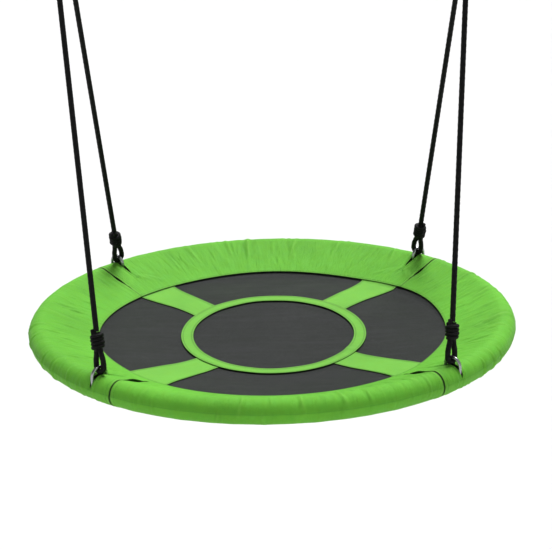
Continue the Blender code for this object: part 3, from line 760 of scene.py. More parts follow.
def mat_height(x, y):
    """Top of the sagging mat below the ring's middle, deeper towards the front."""
    sizes = seat_sizes()
    radius = np.hypot(x, y)
    edge = sizes.skirt_drop + 0.0036
    knee = sizes.skirt_inner - 0.001
    share = np.clip((radius - sizes.mat_flat) / (knee - sizes.mat_flat), 0.0, 1.0)
    height = -sizes.mat_drop + (sizes.mat_drop - edge) * share ** 1.4
    height = np.where(radius > knee, -edge + skirt_slope() * (radius - knee), height)
    lean = sizes.mat_lean * (y / 0.18) * (1.0 - step_between(radius, 0.16, 0.352))
    ripple = 0.00035 * np.sin(x * 61.0 + y * 23.0) * np.sin(y * 47.0 - x * 13.0)
    ripple = ripple * (1.0 - step_between(radius, 0.30, 0.35))
    return height + lean + ripple


def mat_points(x, y, lift=0.0):
    return np.stack([x, y, RIM_Z + mat_height(x, y) + lift], axis=-1)


def cover_section():
    """Radius, height and outward direction along the cover, from the skirt's edge round to the lap's edge."""
    sizes = seat_sizes()
    slope = skirt_slope()

    def skirt(radius):
        return -sizes.skirt_drop + slope * (radius - sizes.skirt_inner)

    turns = np.linspace(sizes.skirt_tangent, math.radians(-118.0), 90)
    lap = 0.0033
    path = [(sizes.skirt_inner, -sizes.skirt_drop)]
    path += [(sizes.rim_radius + sizes.cover_radius * math.cos(turn), sizes.cover_radius * math.sin(turn))
             for turn in turns]
    path += [(0.412, skirt(0.412) - lap), (0.380, skirt(0.380) - lap)]
    path = smooth_path(path, 0.0028, rounds=2)
    along = np.concatenate([[0.0], np.cumsum(np.linalg.norm(np.diff(path, axis=0), axis=1))])
    tangent = np.gradient(path, axis=0)
    tangent /= np.linalg.norm(tangent, axis=1, keepdims=True)
    normal = np.stack([-tangent[:, 1], tangent[:, 0]], axis=1)
    return along, path, normal


# Where the skirt's edge was pulled outwards: middle angle, spread and reach.
EDGE_PULLS = ((32.0, 20.0, 0.0120), (88.0, 24.0, 0.0070), (213.0, 13.0, -0.0080), (312.0, 9.0, 0.0030),
              (333.0, 11.0, -0.0060))


def edge_pull(angle):
    """How far the skirt's edge lies outside its nominal radius at an angle in degrees."""
    pulled = 0.0
    for middle, spread, reach in EDGE_PULLS:
        away = (np.asarray(angle, float) - middle + 180.0) % 360.0 - 180.0
        pulled = pulled + reach * np.exp(-(away / spread) ** 2)
    return pulled


def edge_radius(angle):
    return seat_sizes().skirt_inner + edge_pull(angle)


# Folds that run away from a slit: turn in degrees and reach along the section.
SLIT_FOLDS = ((-5.0, 0.040), (-2.6, 0.026), (2.4, 0.028), (5.6, 0.044), (8.5, 0.050), (-8.0, 0.046))


def number_of(side):
    return list(COVER_SPANS).index(side)


def folds_of(side):
    """Folds of one cover: start and end as (angle, distance along the section), width and height."""
    start, end = COVER_SPANS[side]
    rng = np.random.default_rng(40 + number_of(side))
    folds = []
    for _ in range(46):
        angle = rng.uniform(start + 2.0, end - 2.0)
        first = rng.uniform(0.020, 0.075)
        last = first + rng.uniform(0.030, 0.075)
        folds.append((angle, first, angle + rng.uniform(-2.2, 2.2), last, rng.uniform(0.0020, 0.0042),
                      rng.uniform(0.0004, 0.0013) * rng.choice((-1.0, 1.0))))
    for _ in range(22):
        angle = rng.uniform(start + 2.0, end - 2.0)
        first = rng.uniform(0.100, 0.165)
        last = first + rng.uniform(0.018, 0.050)
        folds.append((angle, first, angle + rng.uniform(-1.4, 1.4), last, rng.uniform(0.0018, 0.0036),
                      rng.uniform(0.0005, 0.0015) * rng.choice((-0.8, 1.0))))
    for slit in COVER_SLITS[side]:
        for turn, reach in SLIT_FOLDS:
            folds.append((slit + turn * 0.18, 0.070, slit + turn, 0.070 - reach, 0.0042, 0.0011))
            folds.append((slit + turn * 0.25, 0.165, slit + turn * 0.6, 0.200, 0.0036, 0.0010))
    return folds + MARKED_FOLDS.get(side, [])


# The deeper folds of each cover, in the terms of folds_of.
MARKED_FOLDS = {
    "front": [(262.5, 0.110, 261.3, 0.170, 0.0032, 0.0022), (268.0, 0.105, 268.6, 0.150, 0.0027, 0.0016),
              (274.5, 0.103, 275.4, 0.165, 0.0032, 0.0019), (283.0, 0.095, 285.0, 0.160, 0.0040, 0.0024),
              (289.0, 0.105, 291.0, 0.168, 0.0032, 0.0019), (301.5, 0.085, 302.6, 0.150, 0.0038, 0.0022),
              (240.0, 0.105, 239.0, 0.165, 0.0032, 0.0016), (305.5, 0.095, 305.0, 0.175, 0.0024, 0.0016)],
    "right": [(-12.0, 0.045, -5.0, 0.160, 0.0056, 0.0035), (-18.0, 0.050, -14.0, 0.130, 0.0048, 0.0024),
              (-24.0, 0.055, -22.0, 0.120, 0.0048, -0.0019), (-32.0, 0.125, -31.0, 0.190, 0.0032, 0.0027),
              (-36.5, 0.130, -36.0, 0.195, 0.0029, 0.0024), (-28.0, 0.135, -26.5, 0.190, 0.0029, 0.0022),
              (10.0, 0.060, 13.0, 0.150, 0.0048, 0.0024), (24.0, 0.080, 25.0, 0.160, 0.0037, 0.0024),
              (2.0, 0.030, 3.0, 0.120, 0.0048, 0.0014), (-2.0, 0.040, -1.5, 0.110, 0.0048, -0.0014)],
    "back": [(96.0, 0.050, 95.0, 0.150, 0.0056, 0.0032), (101.0, 0.060, 101.5, 0.150, 0.0040, 0.0022),
             (83.0, 0.050, 81.5, 0.140, 0.0048, 0.0024), (112.0, 0.060, 113.0, 0.140, 0.0048, 0.0019),
             (70.0, 0.055, 69.0, 0.140, 0.0048, 0.0016)],
    "left": [(186.0, 0.100, 184.0, 0.170, 0.0048, 0.0030), (192.0, 0.110, 191.0, 0.180, 0.0040, 0.0022),
             (176.0, 0.030, 175.0, 0.120, 0.0056, 0.0016), (170.0, 0.040, 168.5, 0.120, 0.0048, -0.0014),
             (182.0, 0.035, 182.0, 0.105, 0.0048, -0.0014), (204.0, 0.130, 203.0, 0.190, 0.0032, 0.0024),
             (210.0, 0.130, 209.5, 0.195, 0.0032, 0.0024), (216.0, 0.130, 217.0, 0.195, 0.0029, 0.0019),
             (200.0, 0.035, 198.0, 0.100, 0.0048, 0.0016)],
}

SEAM_GAPS = {"front_left": 0.0100, "front_right": 0.0090, "back_left": 0.0072, "back_right": 0.0062}
HEM = 0.011
SIDE_SEAM = 0.1560
SLIT_HALF_WIDTH = 0.0043


def corner_at(angle):
    """The corner whose seam is at an angle in degrees."""
    return next(corner for corner, seam in SEAM_ANGLES.items()
                if abs((seam - angle + 180.0) % 360.0 - 180.0) < 0.1)


def seam_gap(corner, along):
    """Opening between two covers: shut on the inner skirt, widest beside the tube, then narrow."""
    widest = SEAM_GAPS[corner]
    skirt = widest * np.exp(-((along - 0.072) / 0.020) ** 2)
    tube = 0.0024 * step_between(along, 0.070, 0.100)
    return np.maximum(skirt, tube) * step_between(along, 0.024, 0.048) + 0.0002


def slit_half_width(along):
    first, last = 0.062, 0.158
    share = np.clip((along - first) / (last - first), 0.0, 1.0)
    bulge = np.clip(1.0 - np.abs(2.0 * share - 1.0) ** 4, 0.0, 1.0) ** 0.7
    return SLIT_HALF_WIDTH * bulge * step_between(share, 0.0, 0.45)


def cover_points(side, angle, along, lift=0.0, slit_side=None):
    """Points on one cover at given angles and distances along the section, with folds, hems and openings."""
    sizes = seat_sizes()
    stations, path, normal = cover_section()
    start, end = COVER_SPANS[side]
    metre = math.radians(1.0) * sizes.rim_radius
    raised = np.zeros(np.broadcast(angle, along).shape)
    for first_angle, first, last_angle, last, width, height in folds_of(side):
        run = np.array([(last_angle - first_angle) * metre, last - first])
        span = np.linalg.norm(run)
        run = run / span
        du, dv = (angle - first_angle) * metre, along - first
        share = np.clip((du * run[0] + dv * run[1]) / span, -0.2, 1.2)
        off = (du * -run[1] + dv * run[0]) / (width * (0.75 + 0.35 * share))
        bell = np.exp(-off ** 2) - 0.45 * np.exp(-(np.abs(off) - 1.9) ** 2)
        raised += height * bell * np.sin(math.pi * np.clip(share, 0.0, 1.0)) ** 0.8
    wave = np.sin(angle * 0.83 + 1.3 * number_of(side)) * np.sin(along * 46.0 + angle * 0.21)
    raised += 0.0004 * wave * step_between(along, 0.01, 0.04)
    raised -= 0.0010 * np.exp(-((along - SIDE_SEAM) / 0.0018) ** 2)
    raised += 0.0004 * np.exp(-((along - SIDE_SEAM - 0.006) / 0.004) ** 2)
    shift = np.zeros_like(raised)
    for limit, sign in ((start, 1.0), (end, -1.0)):
        corner = corner_at(limit)
        away = np.abs(angle - limit) * metre
        raised += 0.0006 * (1.0 - step_between(away, HEM - 0.001, HEM + 0.0025))
        raised -= 0.0006 * np.exp(-((away - HEM * 0.8) / 0.0011) ** 2)
        lip = np.exp(-((along - 0.074) / 0.022) ** 2)
        lifted = corner.startswith("front") and side != "front"
        raised += (0.0026 if lifted else -0.0012) * lip * np.exp(-(away / 0.007) ** 2)
        shift += sign * 0.5 * seam_gap(corner, along) * np.exp(-away / 0.018)
    for slit in COVER_SLITS[side]:
        away = (angle - slit) * metre
        way = np.sign(away) if slit_side is None else np.where(np.abs(away) < 1e-7, slit_side, np.sign(away))
        opened = slit_half_width(along)
        shift += way * opened * np.exp(-np.abs(away) / 0.014)
        raised += 0.0010 * (opened / SLIT_HALF_WIDTH) * np.exp(-(away / 0.005) ** 2)
    around_tube = step_between(along, 0.100, 0.125) * (1.0 - step_between(along, 0.205, 0.225))
    raised = np.where(raised < 0.0, raised * (1.0 - 0.55 * around_tube), raised)
    raised = np.clip(raised, -0.0013 - 0.0012 * (1.0 - around_tube), 0.0050)
    shape = np.broadcast(angle, along).shape
    along = np.broadcast_to(along, shape)
    pull = edge_pull(angle)
    along = np.where(along < 0.075, along + pull * (1.0 - along / 0.075), along)
    beyond = np.minimum(along, 0.0)
    radius = (np.interp(along, stations, path[:, 0]) + beyond * normal[0, 1]
              + np.interp(along, stations, normal[:, 0]) * (raised + lift))
    height = (np.interp(along, stations, path[:, 1]) - beyond * normal[0, 0]
              + np.interp(along, stations, normal[:, 1]) * (raised + lift))
    turn = np.radians(angle) + shift / sizes.rim_radius
    points = np.stack([radius * np.cos(turn), radius * np.sin(turn), RIM_Z + height], axis=-1)
    return points, raised


# ---------------------------------------------------------------- operators: cloth

def build_cover(side):
    sizes = seat_sizes()
    start, end = COVER_SPANS[side]
    stations, _, _ = cover_section()
    metre = math.radians(1.0) * sizes.rim_radius
    angles = np.linspace(start, end, int((end - start) * metre / 0.0023) + 1)
    extra = [limit + sign * k * 0.0012 / metre
             for limit, sign in ((start, 1.0), (end, -1.0)) for k in range(1, 12)]
    for slit in COVER_SLITS[side]:
        extra += [slit + k * 0.0012 / metre for k in range(-8, 9)]
        angles = angles[np.abs(angles - slit) > 0.0100 / metre]
    angles = angles[(angles < start + 1e-6) | (angles > start + 0.0140 / metre)]
    angles = angles[(angles > end - 1e-6) | (angles < end - 0.0140 / metre)]
    angles = np.unique(np.round(np.concatenate([angles, extra]), 6))
    grid_angle, grid_along = np.meshgrid(angles, stations)
    points, raised = cover_points(side, grid_angle, grid_along, slit_side=-1.0)
    split = []
    for slit in COVER_SLITS[side]:
        column = int(np.argmin(np.abs(angles - slit)))
        rows = np.nonzero(slit_half_width(stations) > 0.00012)[0]
        fresh, _ = cover_points(side, np.full(len(rows), slit), stations[rows], slit_side=1.0)
        split.append((column, rows, fresh))
    uv = np.stack([grid_angle * metre, grid_along], axis=-1)
    to_edge = np.minimum(np.abs(grid_angle - start), np.abs(grid_angle - end)) * metre
    wear_and_highlight = np.maximum(np.exp(-to_edge / 0.0030), np.exp(-grid_along / 0.0035))
    # Painted highlight: the raised tops of folds are made paler.
    wear_and_highlight = np.maximum(wear_and_highlight, 0.55 * np.clip(raised / 0.0022, 0.0, 1.0))
    # Painted shade: darker in fold hollows, along the seam gaps at the cover's ends, at the skirt's inner
    # edge and on the lap seen through the seams.
    painted_shade = np.maximum(0.20 * np.clip(-raised / 0.0013, 0.0, 1.0), np.exp(-(to_edge / 0.0016) ** 2))
    painted_shade = np.maximum(painted_shade, 0.8 * np.exp(-grid_along / 0.0010))
    lap = step_between(grid_along, 0.196, 0.206)
    painted_shade = np.maximum(painted_shade, lap * np.exp(-(to_edge / 0.014) ** 4))
    name = "rim_cover_" + side + "_cloth"
    mesh = grid_mesh(name, points, uv, split=split, fields={"wear_and_highlight": wear_and_highlight, "painted_shade": painted_shade})
    piece = add_object(name, mesh)
    solidify(piece, sizes.cover_cloth)
    settle(piece, material("cover_cloth"), "seat", ["rim_cover_" + side], sharp=70.0)


class NESTSWING_OT_rim_covers(bpy.types.Operator):
    """Build the four rim covers with their hems, folds, rope slits and side seam"""
    bl_idname = "nest_swing.rim_covers"
    bl_label = "Rim covers"

    def execute(self, context):
        for side in SIDES:
            build_cover(side)
        return {"FINISHED"}


class NESTSWING_OT_closure_tapes(bpy.types.Operator):
    """Build the hook-and-loop strips that shut the covers underneath"""
    bl_idname = "nest_swing.closure_tapes"
    bl_label = "Closure tapes"

    def execute(self, context):
        sizes = seat_sizes()
        slope = skirt_slope()
        for side, (start, end) in COVER_SPANS.items():
            radius = np.linspace(0.406, 0.384, 12)
            angle = np.linspace(start + 1.0, end - 1.0, 150)
            grid_angle, grid_radius = np.meshgrid(np.radians(angle), radius)
            fuzz = 0.00012 * np.sin(grid_angle * 900.0) * np.sin(grid_radius * 5200.0)
            height = -sizes.skirt_drop + slope * (grid_radius - sizes.skirt_inner) - 0.00165 + fuzz
            x, y = grid_radius * np.cos(grid_angle), grid_radius * np.sin(grid_angle)
            points = np.stack([x, y, RIM_Z + height], axis=-1)
            uv = np.stack([grid_angle * sizes.rim_radius, grid_radius], axis=-1)
            piece = add_object("closure_tape_" + side + "_strip", grid_mesh("tape", points, uv))
            solidify(piece, 0.0010)
            outward(piece.data)
            settle(piece, material("tape"), "seat", ["closure_tape_" + side])
        return {"FINISHED"}


class NESTSWING_OT_foam(bpy.types.Operator):
    """Build the split foam sleeves on the ring"""
    bl_idname = "nest_swing.foam"
    bl_label = "Foam sleeves"

    def execute(self, context):
        sizes = seat_sizes()
        inner = sizes.tube_radius + 0.0003
        gap = math.radians(4.0)
        turns = np.linspace(math.pi + gap, 3.0 * math.pi - gap, 40)
        outline = [(sizes.foam_radius * math.cos(turn), sizes.foam_radius * math.sin(turn)) for turn in turns]
        outline += [(inner * math.cos(turn), inner * math.sin(turn)) for turn in turns[::-1]]
        outline = np.array(outline)
        for side, middle in SIDES.items():
            angle = np.radians(np.linspace(middle - 43.0, middle + 43.0, 130))
            order = np.arange(len(outline))[None, :]
            ripple = 0.006 * np.sin(angle[:, None] * 37.0) * np.sin(order * 0.7)
            across = outline[None, :, 0] * np.where(order < 40, 1.0, 0.0) * ripple
            radius = sizes.rim_radius + outline[None, :, 0] + np.minimum(across, 0.0)
            points = np.stack([radius * np.cos(angle)[:, None], radius * np.sin(angle)[:, None],
                               RIM_Z + np.broadcast_to(outline[None, :, 1], radius.shape)], axis=-1)
            uv = np.zeros((len(angle), len(outline) + 1, 2))
            uv[:, :, 0] = np.arange(len(outline) + 1) * 0.0016
            uv[:, :, 1] = angle[:, None] * sizes.rim_radius
            mesh = outward(grid_mesh("foam", points, uv, closed_columns=True, caps=True))
            piece = add_object("foam_sleeve_" + side + "_padding", mesh)
            settle(piece, material("foam"), "seat", ["foam_sleeve_" + side])
        return {"FINISHED"}


class NESTSWING_OT_mat(bpy.types.Operator):
    """Build the sagging mesh mat"""
    bl_idname = "nest_swing.mat"
    bl_label = "Seat mat"

    def execute(self, context):
        sizes = seat_sizes()
        radius = np.concatenate([[0.004], np.linspace(0.008, sizes.mat_radius, 96)])
        angle = np.radians(np.arange(181) * 2.0)
        grid_angle, grid_radius = np.meshgrid(angle, radius)
        x, y = grid_radius * np.cos(grid_angle), grid_radius * np.sin(grid_angle)
        points = mat_points(x, y)
        uv = np.stack([x, y], axis=-1)
        mesh = grid_mesh("mat", points[:, :-1], uv, closed_columns=True)
        shape = bmesh.new()
        shape.from_mesh(mesh)
        shape.verts.ensure_lookup_table()
        ring = [shape.verts[k] for k in range(180)]
        face = shape.faces.new(ring[::-1])
        layer = shape.loops.layers.uv.active
        for loop in face.loops:
            loop[layer].uv = loop.vert.co.xy
        bmesh.ops.recalc_face_normals(shape, faces=shape.faces)
        if sum(f.normal.z for f in shape.faces) < 0.0:
            bmesh.ops.reverse_faces(shape, faces=shape.faces)
        shape.to_mesh(mesh)
        shape.free()
        piece = add_object("seat_mat_mesh", mesh)
        piece.data.shade_smooth()
        piece.modifiers.new("Cloth", "SOLIDIFY").thickness = 0.0014
        piece.modifiers["Cloth"].offset = -1.0
        freeze(piece)
        settle(piece, material("mat_mesh"), "seat", ["seat_mat"])
        return {"FINISHED"}


# How far a band's stitches sit from its edge.
BAND_STITCH = 0.0038


def band_thickness_field(edge):
    """Bands are folded double along their edges."""
    fold = 0.00045 * (1.0 - step_between(edge, 0.0055, 0.0075))
    return fold - 0.0005 * np.exp(-((edge - BAND_STITCH) / 0.0008) ** 2)


def build_band(name, points, uv, edge, nodes, closed=False, shade=0.0):
    wear_and_highlight = 0.5 * np.exp(-((edge - 0.0020) / 0.0012) ** 2)
    # Painted shade along the band's edges and its stitch lines, and where the skirt's edge lies over a strap.
    painted_shade = np.maximum(0.7 * np.exp(-((edge - BAND_STITCH) / 0.0009) ** 2), 0.9 * np.exp(-edge / 0.0007))
    painted_shade = np.maximum(painted_shade, shade)
    mesh = grid_mesh(name, points, uv, closed_columns=closed, fields={"wear_and_highlight": wear_and_highlight, "painted_shade": painted_shade})
    if sum(face.normal.z for face in mesh.polygons) < 0.0:
        mesh.flip_normals()
    piece = add_object(name, mesh)
    solidify(piece, seat_sizes().band_cloth)
    return settle(piece, material("band_cloth"), "seat", nodes, sharp=70.0)


# How far each strap was sewn off its diagonal: at the ring band and at the skirt, on either edge.
STRAP_SHIFTS = {
    "front_left": ((0.0, 0.0), (-0.010, 0.006)), "front_right": ((0.008, 0.012), (0.015, 0.013)),
    "back_left": ((0.010, 0.010), (-0.012, -0.010)), "back_right": ((0.000, 0.001), (0.020, 0.016))}
STRAP_START = 0.200
STRAP_RUN = 0.158
STRAP_HALF_WIDTH = 0.0325
STRAP_FLARE = 0.0150


def strap_edges(corner, radius):
    """Distances of a strap's two edges from its diagonal."""
    share = np.clip((radius - STRAP_START) / STRAP_RUN, -0.2, 1.2)
    width = STRAP_HALF_WIDTH + STRAP_FLARE * np.clip(share, 0.0, 1.2) ** 1.5
    (low_in, high_in), (low_out, high_out) = STRAP_SHIFTS[corner]
    return -width + low_in + (low_out - low_in) * share, width + high_in + (high_out - high_in) * share


def strap_place(corner, radius, across, inset=0.0):
    out, side = direction(CORNERS[corner]), direction(CORNERS[corner] + 90.0)
    low, high = strap_edges(corner, radius)
    offset = (low + high) / 2.0 + across * ((high - low) / 2.0 - inset)
    return out.x * radius + side.x * offset, out.y * radius + side.y * offset


class NESTSWING_OT_bands(bpy.types.Operator):
    """Build the four straps and the ring band that are sewn on the mat"""
    bl_idname = "nest_swing.bands"
    bl_label = "Bands on the mat"

    def execute(self, context):
        sizes = seat_sizes()
        for corner, angle in CORNERS.items():
            radius = np.linspace(0.182, 0.376, 84)
            even = np.linspace(-1.0, 1.0, 35)
            across = np.sin(even * math.pi / 2.0) * 0.35 + even * 0.65
            grid_across, grid_radius = np.meshgrid(across, radius)
            x, y = strap_place(corner, grid_radius, grid_across)
            low, high = strap_edges(corner, grid_radius)
            edge = (1.0 - np.abs(grid_across)) * (high - low) / 2.0
            # Painted shade on the strap where it passes under the skirt's edge.
            shade = step_between(grid_radius, edge_radius(angle) - 0.006, edge_radius(angle) + 0.001)
            puff = 0.0006 * (1.0 - grid_across ** 2) * np.sin(grid_radius * 70.0 + angle)
            lift = 0.0011 + band_thickness_field(edge) + puff
            uv = np.stack([grid_across * 0.045, grid_radius], axis=-1)
            points = mat_points(x, y, lift)
            piece = build_band("strap_" + corner + "_band", points, uv, edge, ["strap_" + corner],
                               shade=shade)
        radius = np.linspace(sizes.ring_band_outer - sizes.ring_band_width, sizes.ring_band_outer, 19)
        angle = np.radians(np.arange(361))
        grid_angle, grid_radius = np.meshgrid(angle, radius)
        x = grid_radius * np.cos(grid_angle) + sizes.ring_band_shift
        y = grid_radius * np.sin(grid_angle) - sizes.ring_band_shift
        edge = np.minimum(grid_radius - radius[0], radius[-1] - grid_radius)
        join = 0.0009 * np.exp(-((np.degrees(grid_angle) - 331.0) / 2.2) ** 2)
        lift = 0.0026 + band_thickness_field(edge) + join
        uv = np.stack([grid_angle * 0.179, grid_radius], axis=-1)
        points = mat_points(x, y, lift)[:, :-1]
        piece = build_band("centre_ring_band_cloth", points, uv, edge[:, :-1], ["centre_ring_band"],
                           closed=True)
        return {"FINISHED"}


def cover_line(side, angles, along, lift=0.00065):
    angles, along = np.broadcast_arrays(np.asarray(angles, float), np.asarray(along, float))
    points, _ = cover_points(side, angles, along, lift=lift)
    return points


def sew(name, rows, step, stitch):
    """Thread stitches along every row, as one piece of the seat."""
    piece = path_object(name, rows)
    run_tree(piece, stitch_tree(), {"Stitch step": step, "Stitch length": stitch, "Thread thickness": 0.0008,
                                    "Material": material("thread")})
    settle(piece, material("thread"), "seat")


class NESTSWING_OT_stitches(bpy.types.Operator):
    """Sew every hem, seam and band with rows of thread"""
    bl_idname = "nest_swing.stitches"
    bl_label = "Stitches"

    def execute(self, context):
        sizes = seat_sizes()
        metre = math.radians(1.0) * sizes.rim_radius
        stations, _, _ = cover_section()
        last = stations[-1]
        cover_rows = []
        for side, (start, end) in COVER_SPANS.items():
            run = np.linspace(start + 0.6, end - 0.6, 260)
            cover_rows.append(cover_line(side, run, 0.0045))
            cover_rows.append(cover_line(side, run, last - 0.0050))
            cover_rows.append(cover_line(side, run, SIDE_SEAM + 0.0042))
            height = np.linspace(0.006, last - 0.008, 120)
            for limit, sign in ((start, 1.0), (end, -1.0)):
                cover_rows.append(cover_line(side, limit + sign * HEM * 0.8 / metre, height))
            for slit in COVER_SLITS[side]:
                cut = np.linspace(0.060, 0.160, 50)
                for sign in (-1.0, 1.0):
                    cover_rows.append(cover_line(side, slit + sign * 0.0042 / metre, cut))
                for spot in (0.0585, 0.1620):
                    cross = np.linspace(slit - 0.006 / metre, slit + 0.006 / metre, 8)
                    cover_rows.append(cover_line(side, cross, spot))
        sew("cover_stitches", cover_rows, 0.0042, 0.0031)
        band_rows = []
        lift = 0.0011 + sizes.band_cloth / 2.0 + 0.00012
        for corner in CORNERS:
            radius = np.linspace(0.194, 0.354, 60)
            for sign in (-1.0, 1.0):
                x, y = strap_place(corner, radius, sign, inset=BAND_STITCH)
                band_rows.append(mat_points(x, y, lift))
        turn = np.linspace(0.0, 2.0 * math.pi, 361)
        outer, inner = sizes.ring_band_outer, sizes.ring_band_outer - sizes.ring_band_width
        for radius in (outer - BAND_STITCH, inner + BAND_STITCH):
            x = radius * np.cos(turn) + sizes.ring_band_shift
            y = radius * np.sin(turn) - sizes.ring_band_shift
            band_rows.append(mat_points(x, y, lift + 0.0015))
        sew("band_stitches", band_rows, 0.0040, 0.0030)
        return {"FINISHED"}


# ---------------------------------------------------------------- operators: ropes

def hoop_place(corner):
    """Where a rope's lower eye bears on its hoop, inward of the top, and the rod's direction there."""
    seat, lean = seat_sizes(), rope_sizes().eye_lean
    out = direction(CORNERS[corner])
    half = seat.tube_radius + 0.0003 + seat.hoop_rod
    anchor = out * (seat.rim_radius - half * math.sin(lean))
    anchor.z = RIM_Z + seat.hoop_height - half * (1.0 - math.cos(lean))
    return anchor, out * math.cos(lean) + Vector((0.0, 0.0, math.sin(lean)))


def upper_place(corner):
    """Where a rope's upper eye bears on its ring, and the ring's direction there."""
    sizes = rope_sizes()
    lean = math.asin(sizes.upper_shift / sizes.ring_bend)
    turn = math.radians(270.0) + (lean if corner.startswith("back") else -lean)
    side = -1.0 if corner.endswith("left") else 1.0
    centre = Vector((side * HALF_SPACING, 0.0, RING_CENTRE_Z))
    anchor = centre + sizes.ring_bend * Vector((math.cos(turn), 0.0, math.sin(turn)))
    return anchor, Vector((-math.sin(turn), 0.0, math.cos(turn)))


def rope_body(corner):
    return "left_ropes" if corner.endswith("left") else "right_ropes"


def rope_facts(corner):
    lower, lower_rod = hoop_place(corner)
    upper, upper_rod = upper_place(corner)
    up = (upper - lower).normalized()
    return lower, lower_rod, upper, upper_rod, up


def eye_points(anchor, way, rod, bend, reach):
    """Teardrop loop round a rod, its two strands meeting at the knot."""
    normal = (rod - way * rod.dot(way)).normalized()
    across = normal.cross(way)
    half = 0.0052
    side = [(half, reach + 0.004), (half, reach), (half + 0.0006, reach * 0.84), (bend * 0.94, reach * 0.45),
            (bend, reach * 0.16)]
    arc = [(bend * math.cos(math.radians(turn)), -bend * math.sin(math.radians(turn)))
           for turn in range(0, 181, 15)]
    flat = side + arc + [(-u, w) for u, w in reversed(side)]
    return [anchor + across * u + way * w for u, w in flat]


def wrapped_knot(name, anchor, way, seed):
    """Barrel of wraps round the standing rope, with the two strands inside and a melted tail."""
    sizes = rope_sizes()
    wrap = sizes.knot_length / sizes.wraps / 2.0
    side = np.array(way.orthogonal().normalized())
    axis = np.array(way)
    other = np.cross(axis, side)
    anchor = np.array(anchor)
    share = np.linspace(0.0, 1.0, sizes.wraps * 40)
    turn = 2.0 * math.pi * (sizes.wraps - 0.5) * share + seed
    uneven = 0.93 + 0.07 * np.sin(math.pi * share) + 0.045 * np.sin(turn * 0.61 + seed)
    barrel = (sizes.knot_radius - wrap) * uneven
    tucked = step_between(share, 0.0, 0.09) * (1.0 - step_between(share, 0.91, 1.0))
    radius = 0.0030 + (barrel - 0.0030) * tucked
    height = sizes.knot_start + wrap + (sizes.knot_length - 2.0 * wrap) * share
    coil = anchor + axis * height[:, None] + radius[:, None] * (
        side * np.cos(turn)[:, None] + other * np.sin(turn)[:, None])
    meshes = [rope_mesh(name, coil, wrap * 1.02, sides=14, relief=0.18)]
    low, high = sizes.knot_start - 0.001, sizes.knot_start + sizes.knot_length - 0.002
    core = anchor + axis * np.linspace(low, high, 24)[:, None]
    meshes.append(rope_mesh(name, core, 0.0072, sides=14, relief=0.1))
    tail_side = side * math.cos(seed + 2.2) + other * math.sin(seed + 2.2)
    tail_height = np.linspace(high - 0.006, high + 0.0060, 12)
    tail = anchor + axis * tail_height[:, None] + tail_side * (0.0070 + 0.08 * (tail_height - high))[:, None]
    swell = np.ones(12)
    swell[-3:] = (1.04, 0.9, 0.5)
    meshes.append(rope_mesh(name, tail, 0.0040, sides=14, swell=swell, relief=0.15))
    return join_meshes(name, meshes)


class NESTSWING_OT_ropes(bpy.types.Operator):
    """Build the four taut braided ropes between their knots"""
    bl_idname = "nest_swing.ropes"
    bl_label = "Ropes"

    def execute(self, context):
        sizes = rope_sizes()
        for corner in CORNERS:
            lower, _, upper, _, up = rope_facts(corner)
            reach = sizes.knot_start + sizes.knot_length - 0.0015
            first, last = lower + up * reach, upper - up * reach
            run = (last - first).length
            count = int(run / 0.0016)
            path = np.array(first) + np.linspace(0.0, 1.0, count)[:, None] * np.array(last - first)
            mesh = rope_mesh("rope", path, sizes.rope_radius, sides=20)
            piece = add_object("rope_" + corner + "_braid", mesh)
            settle(piece, material("rope"), rope_body(corner), ["rope_" + corner])
        return {"FINISHED"}


class NESTSWING_OT_knots(bpy.types.Operator):
    """Build the wrapped knots and the eyes at both ends of every rope"""
    bl_idname = "nest_swing.knots"
    bl_label = "Knots and eyes"

    def execute(self, context):
        sizes = rope_sizes()
        rod_radius = seat_sizes().hoop_rod
        for number, corner in enumerate(CORNERS):
            lower, lower_rod, upper, rod, up = rope_facts(corner)
            body = rope_body(corner)
            knot = add_object("knot_" + corner + "_wraps", wrapped_knot("knot", lower, up, 0.9 * number))
            settle(knot, material("rope"), body, ["knot_" + corner])
            bend = rod_radius + sizes.rope_radius + sizes.lower_slack
            path = smooth_path(eye_points(lower, up, lower_rod, bend, sizes.knot_start), 0.0018)
            strand = rope_mesh("eye", path, sizes.rope_radius, sides=18)
            eye = add_object("lower_eye_" + corner + "_loop", strand)
            settle(eye, material("rope"), body, ["lower_eye_" + corner])
            bend = sizes.ring_rod + sizes.rope_radius + sizes.upper_slack
            path = smooth_path(eye_points(upper, -up, rod, bend, sizes.knot_start), 0.0018)
            loop = join_meshes("top", [rope_mesh("top", path, sizes.rope_radius, sides=18),
                                       wrapped_knot("top", upper, -up, 1.7 + 0.8 * number)])
            top = add_object("top_loop_" + corner + "_knot", loop)
            settle(top, material("rope"), body, ["top_loop_" + corner])
        return {"FINISHED"}


# ---------------------------------------------------------------- operators: steel

class NESTSWING_OT_hoops(bpy.types.Operator):
    """Build the bent steel hoops that hold the ropes"""
    bl_idname = "nest_swing.hoops"
    bl_label = "Rope hoops"

    def execute(self, context):
        sizes = seat_sizes()
        half = sizes.tube_radius + 0.0003 + sizes.hoop_rod
        bend_centre = sizes.hoop_height - half
        flat = [(half, -0.004), (half, bend_centre * 0.5)]
        flat += [(half * math.cos(math.radians(turn)), bend_centre + half * math.sin(math.radians(turn)))
                 for turn in range(0, 181, 10)]
        flat += [(-half, bend_centre * 0.5), (-half, -0.004)]
        for corner, angle in CORNERS.items():
            out = direction(angle)
            points = [out * (sizes.rim_radius + u) + Vector((0.0, 0.0, RIM_Z + w)) for u, w in flat]
            piece = rod_piece("rope_hoop_" + corner + "_rod", points, sizes.hoop_rod, material("zinc"))
            settle(piece, None, "seat", ["rope_hoop_" + corner])
        return {"FINISHED"}


def hook_leg(height, top_centre, bottom_centre):
    sizes = rope_sizes()
    share = (top_centre - height) / (top_centre - bottom_centre)
    return sizes.hook_top + (sizes.hook_bottom - sizes.hook_top) * share


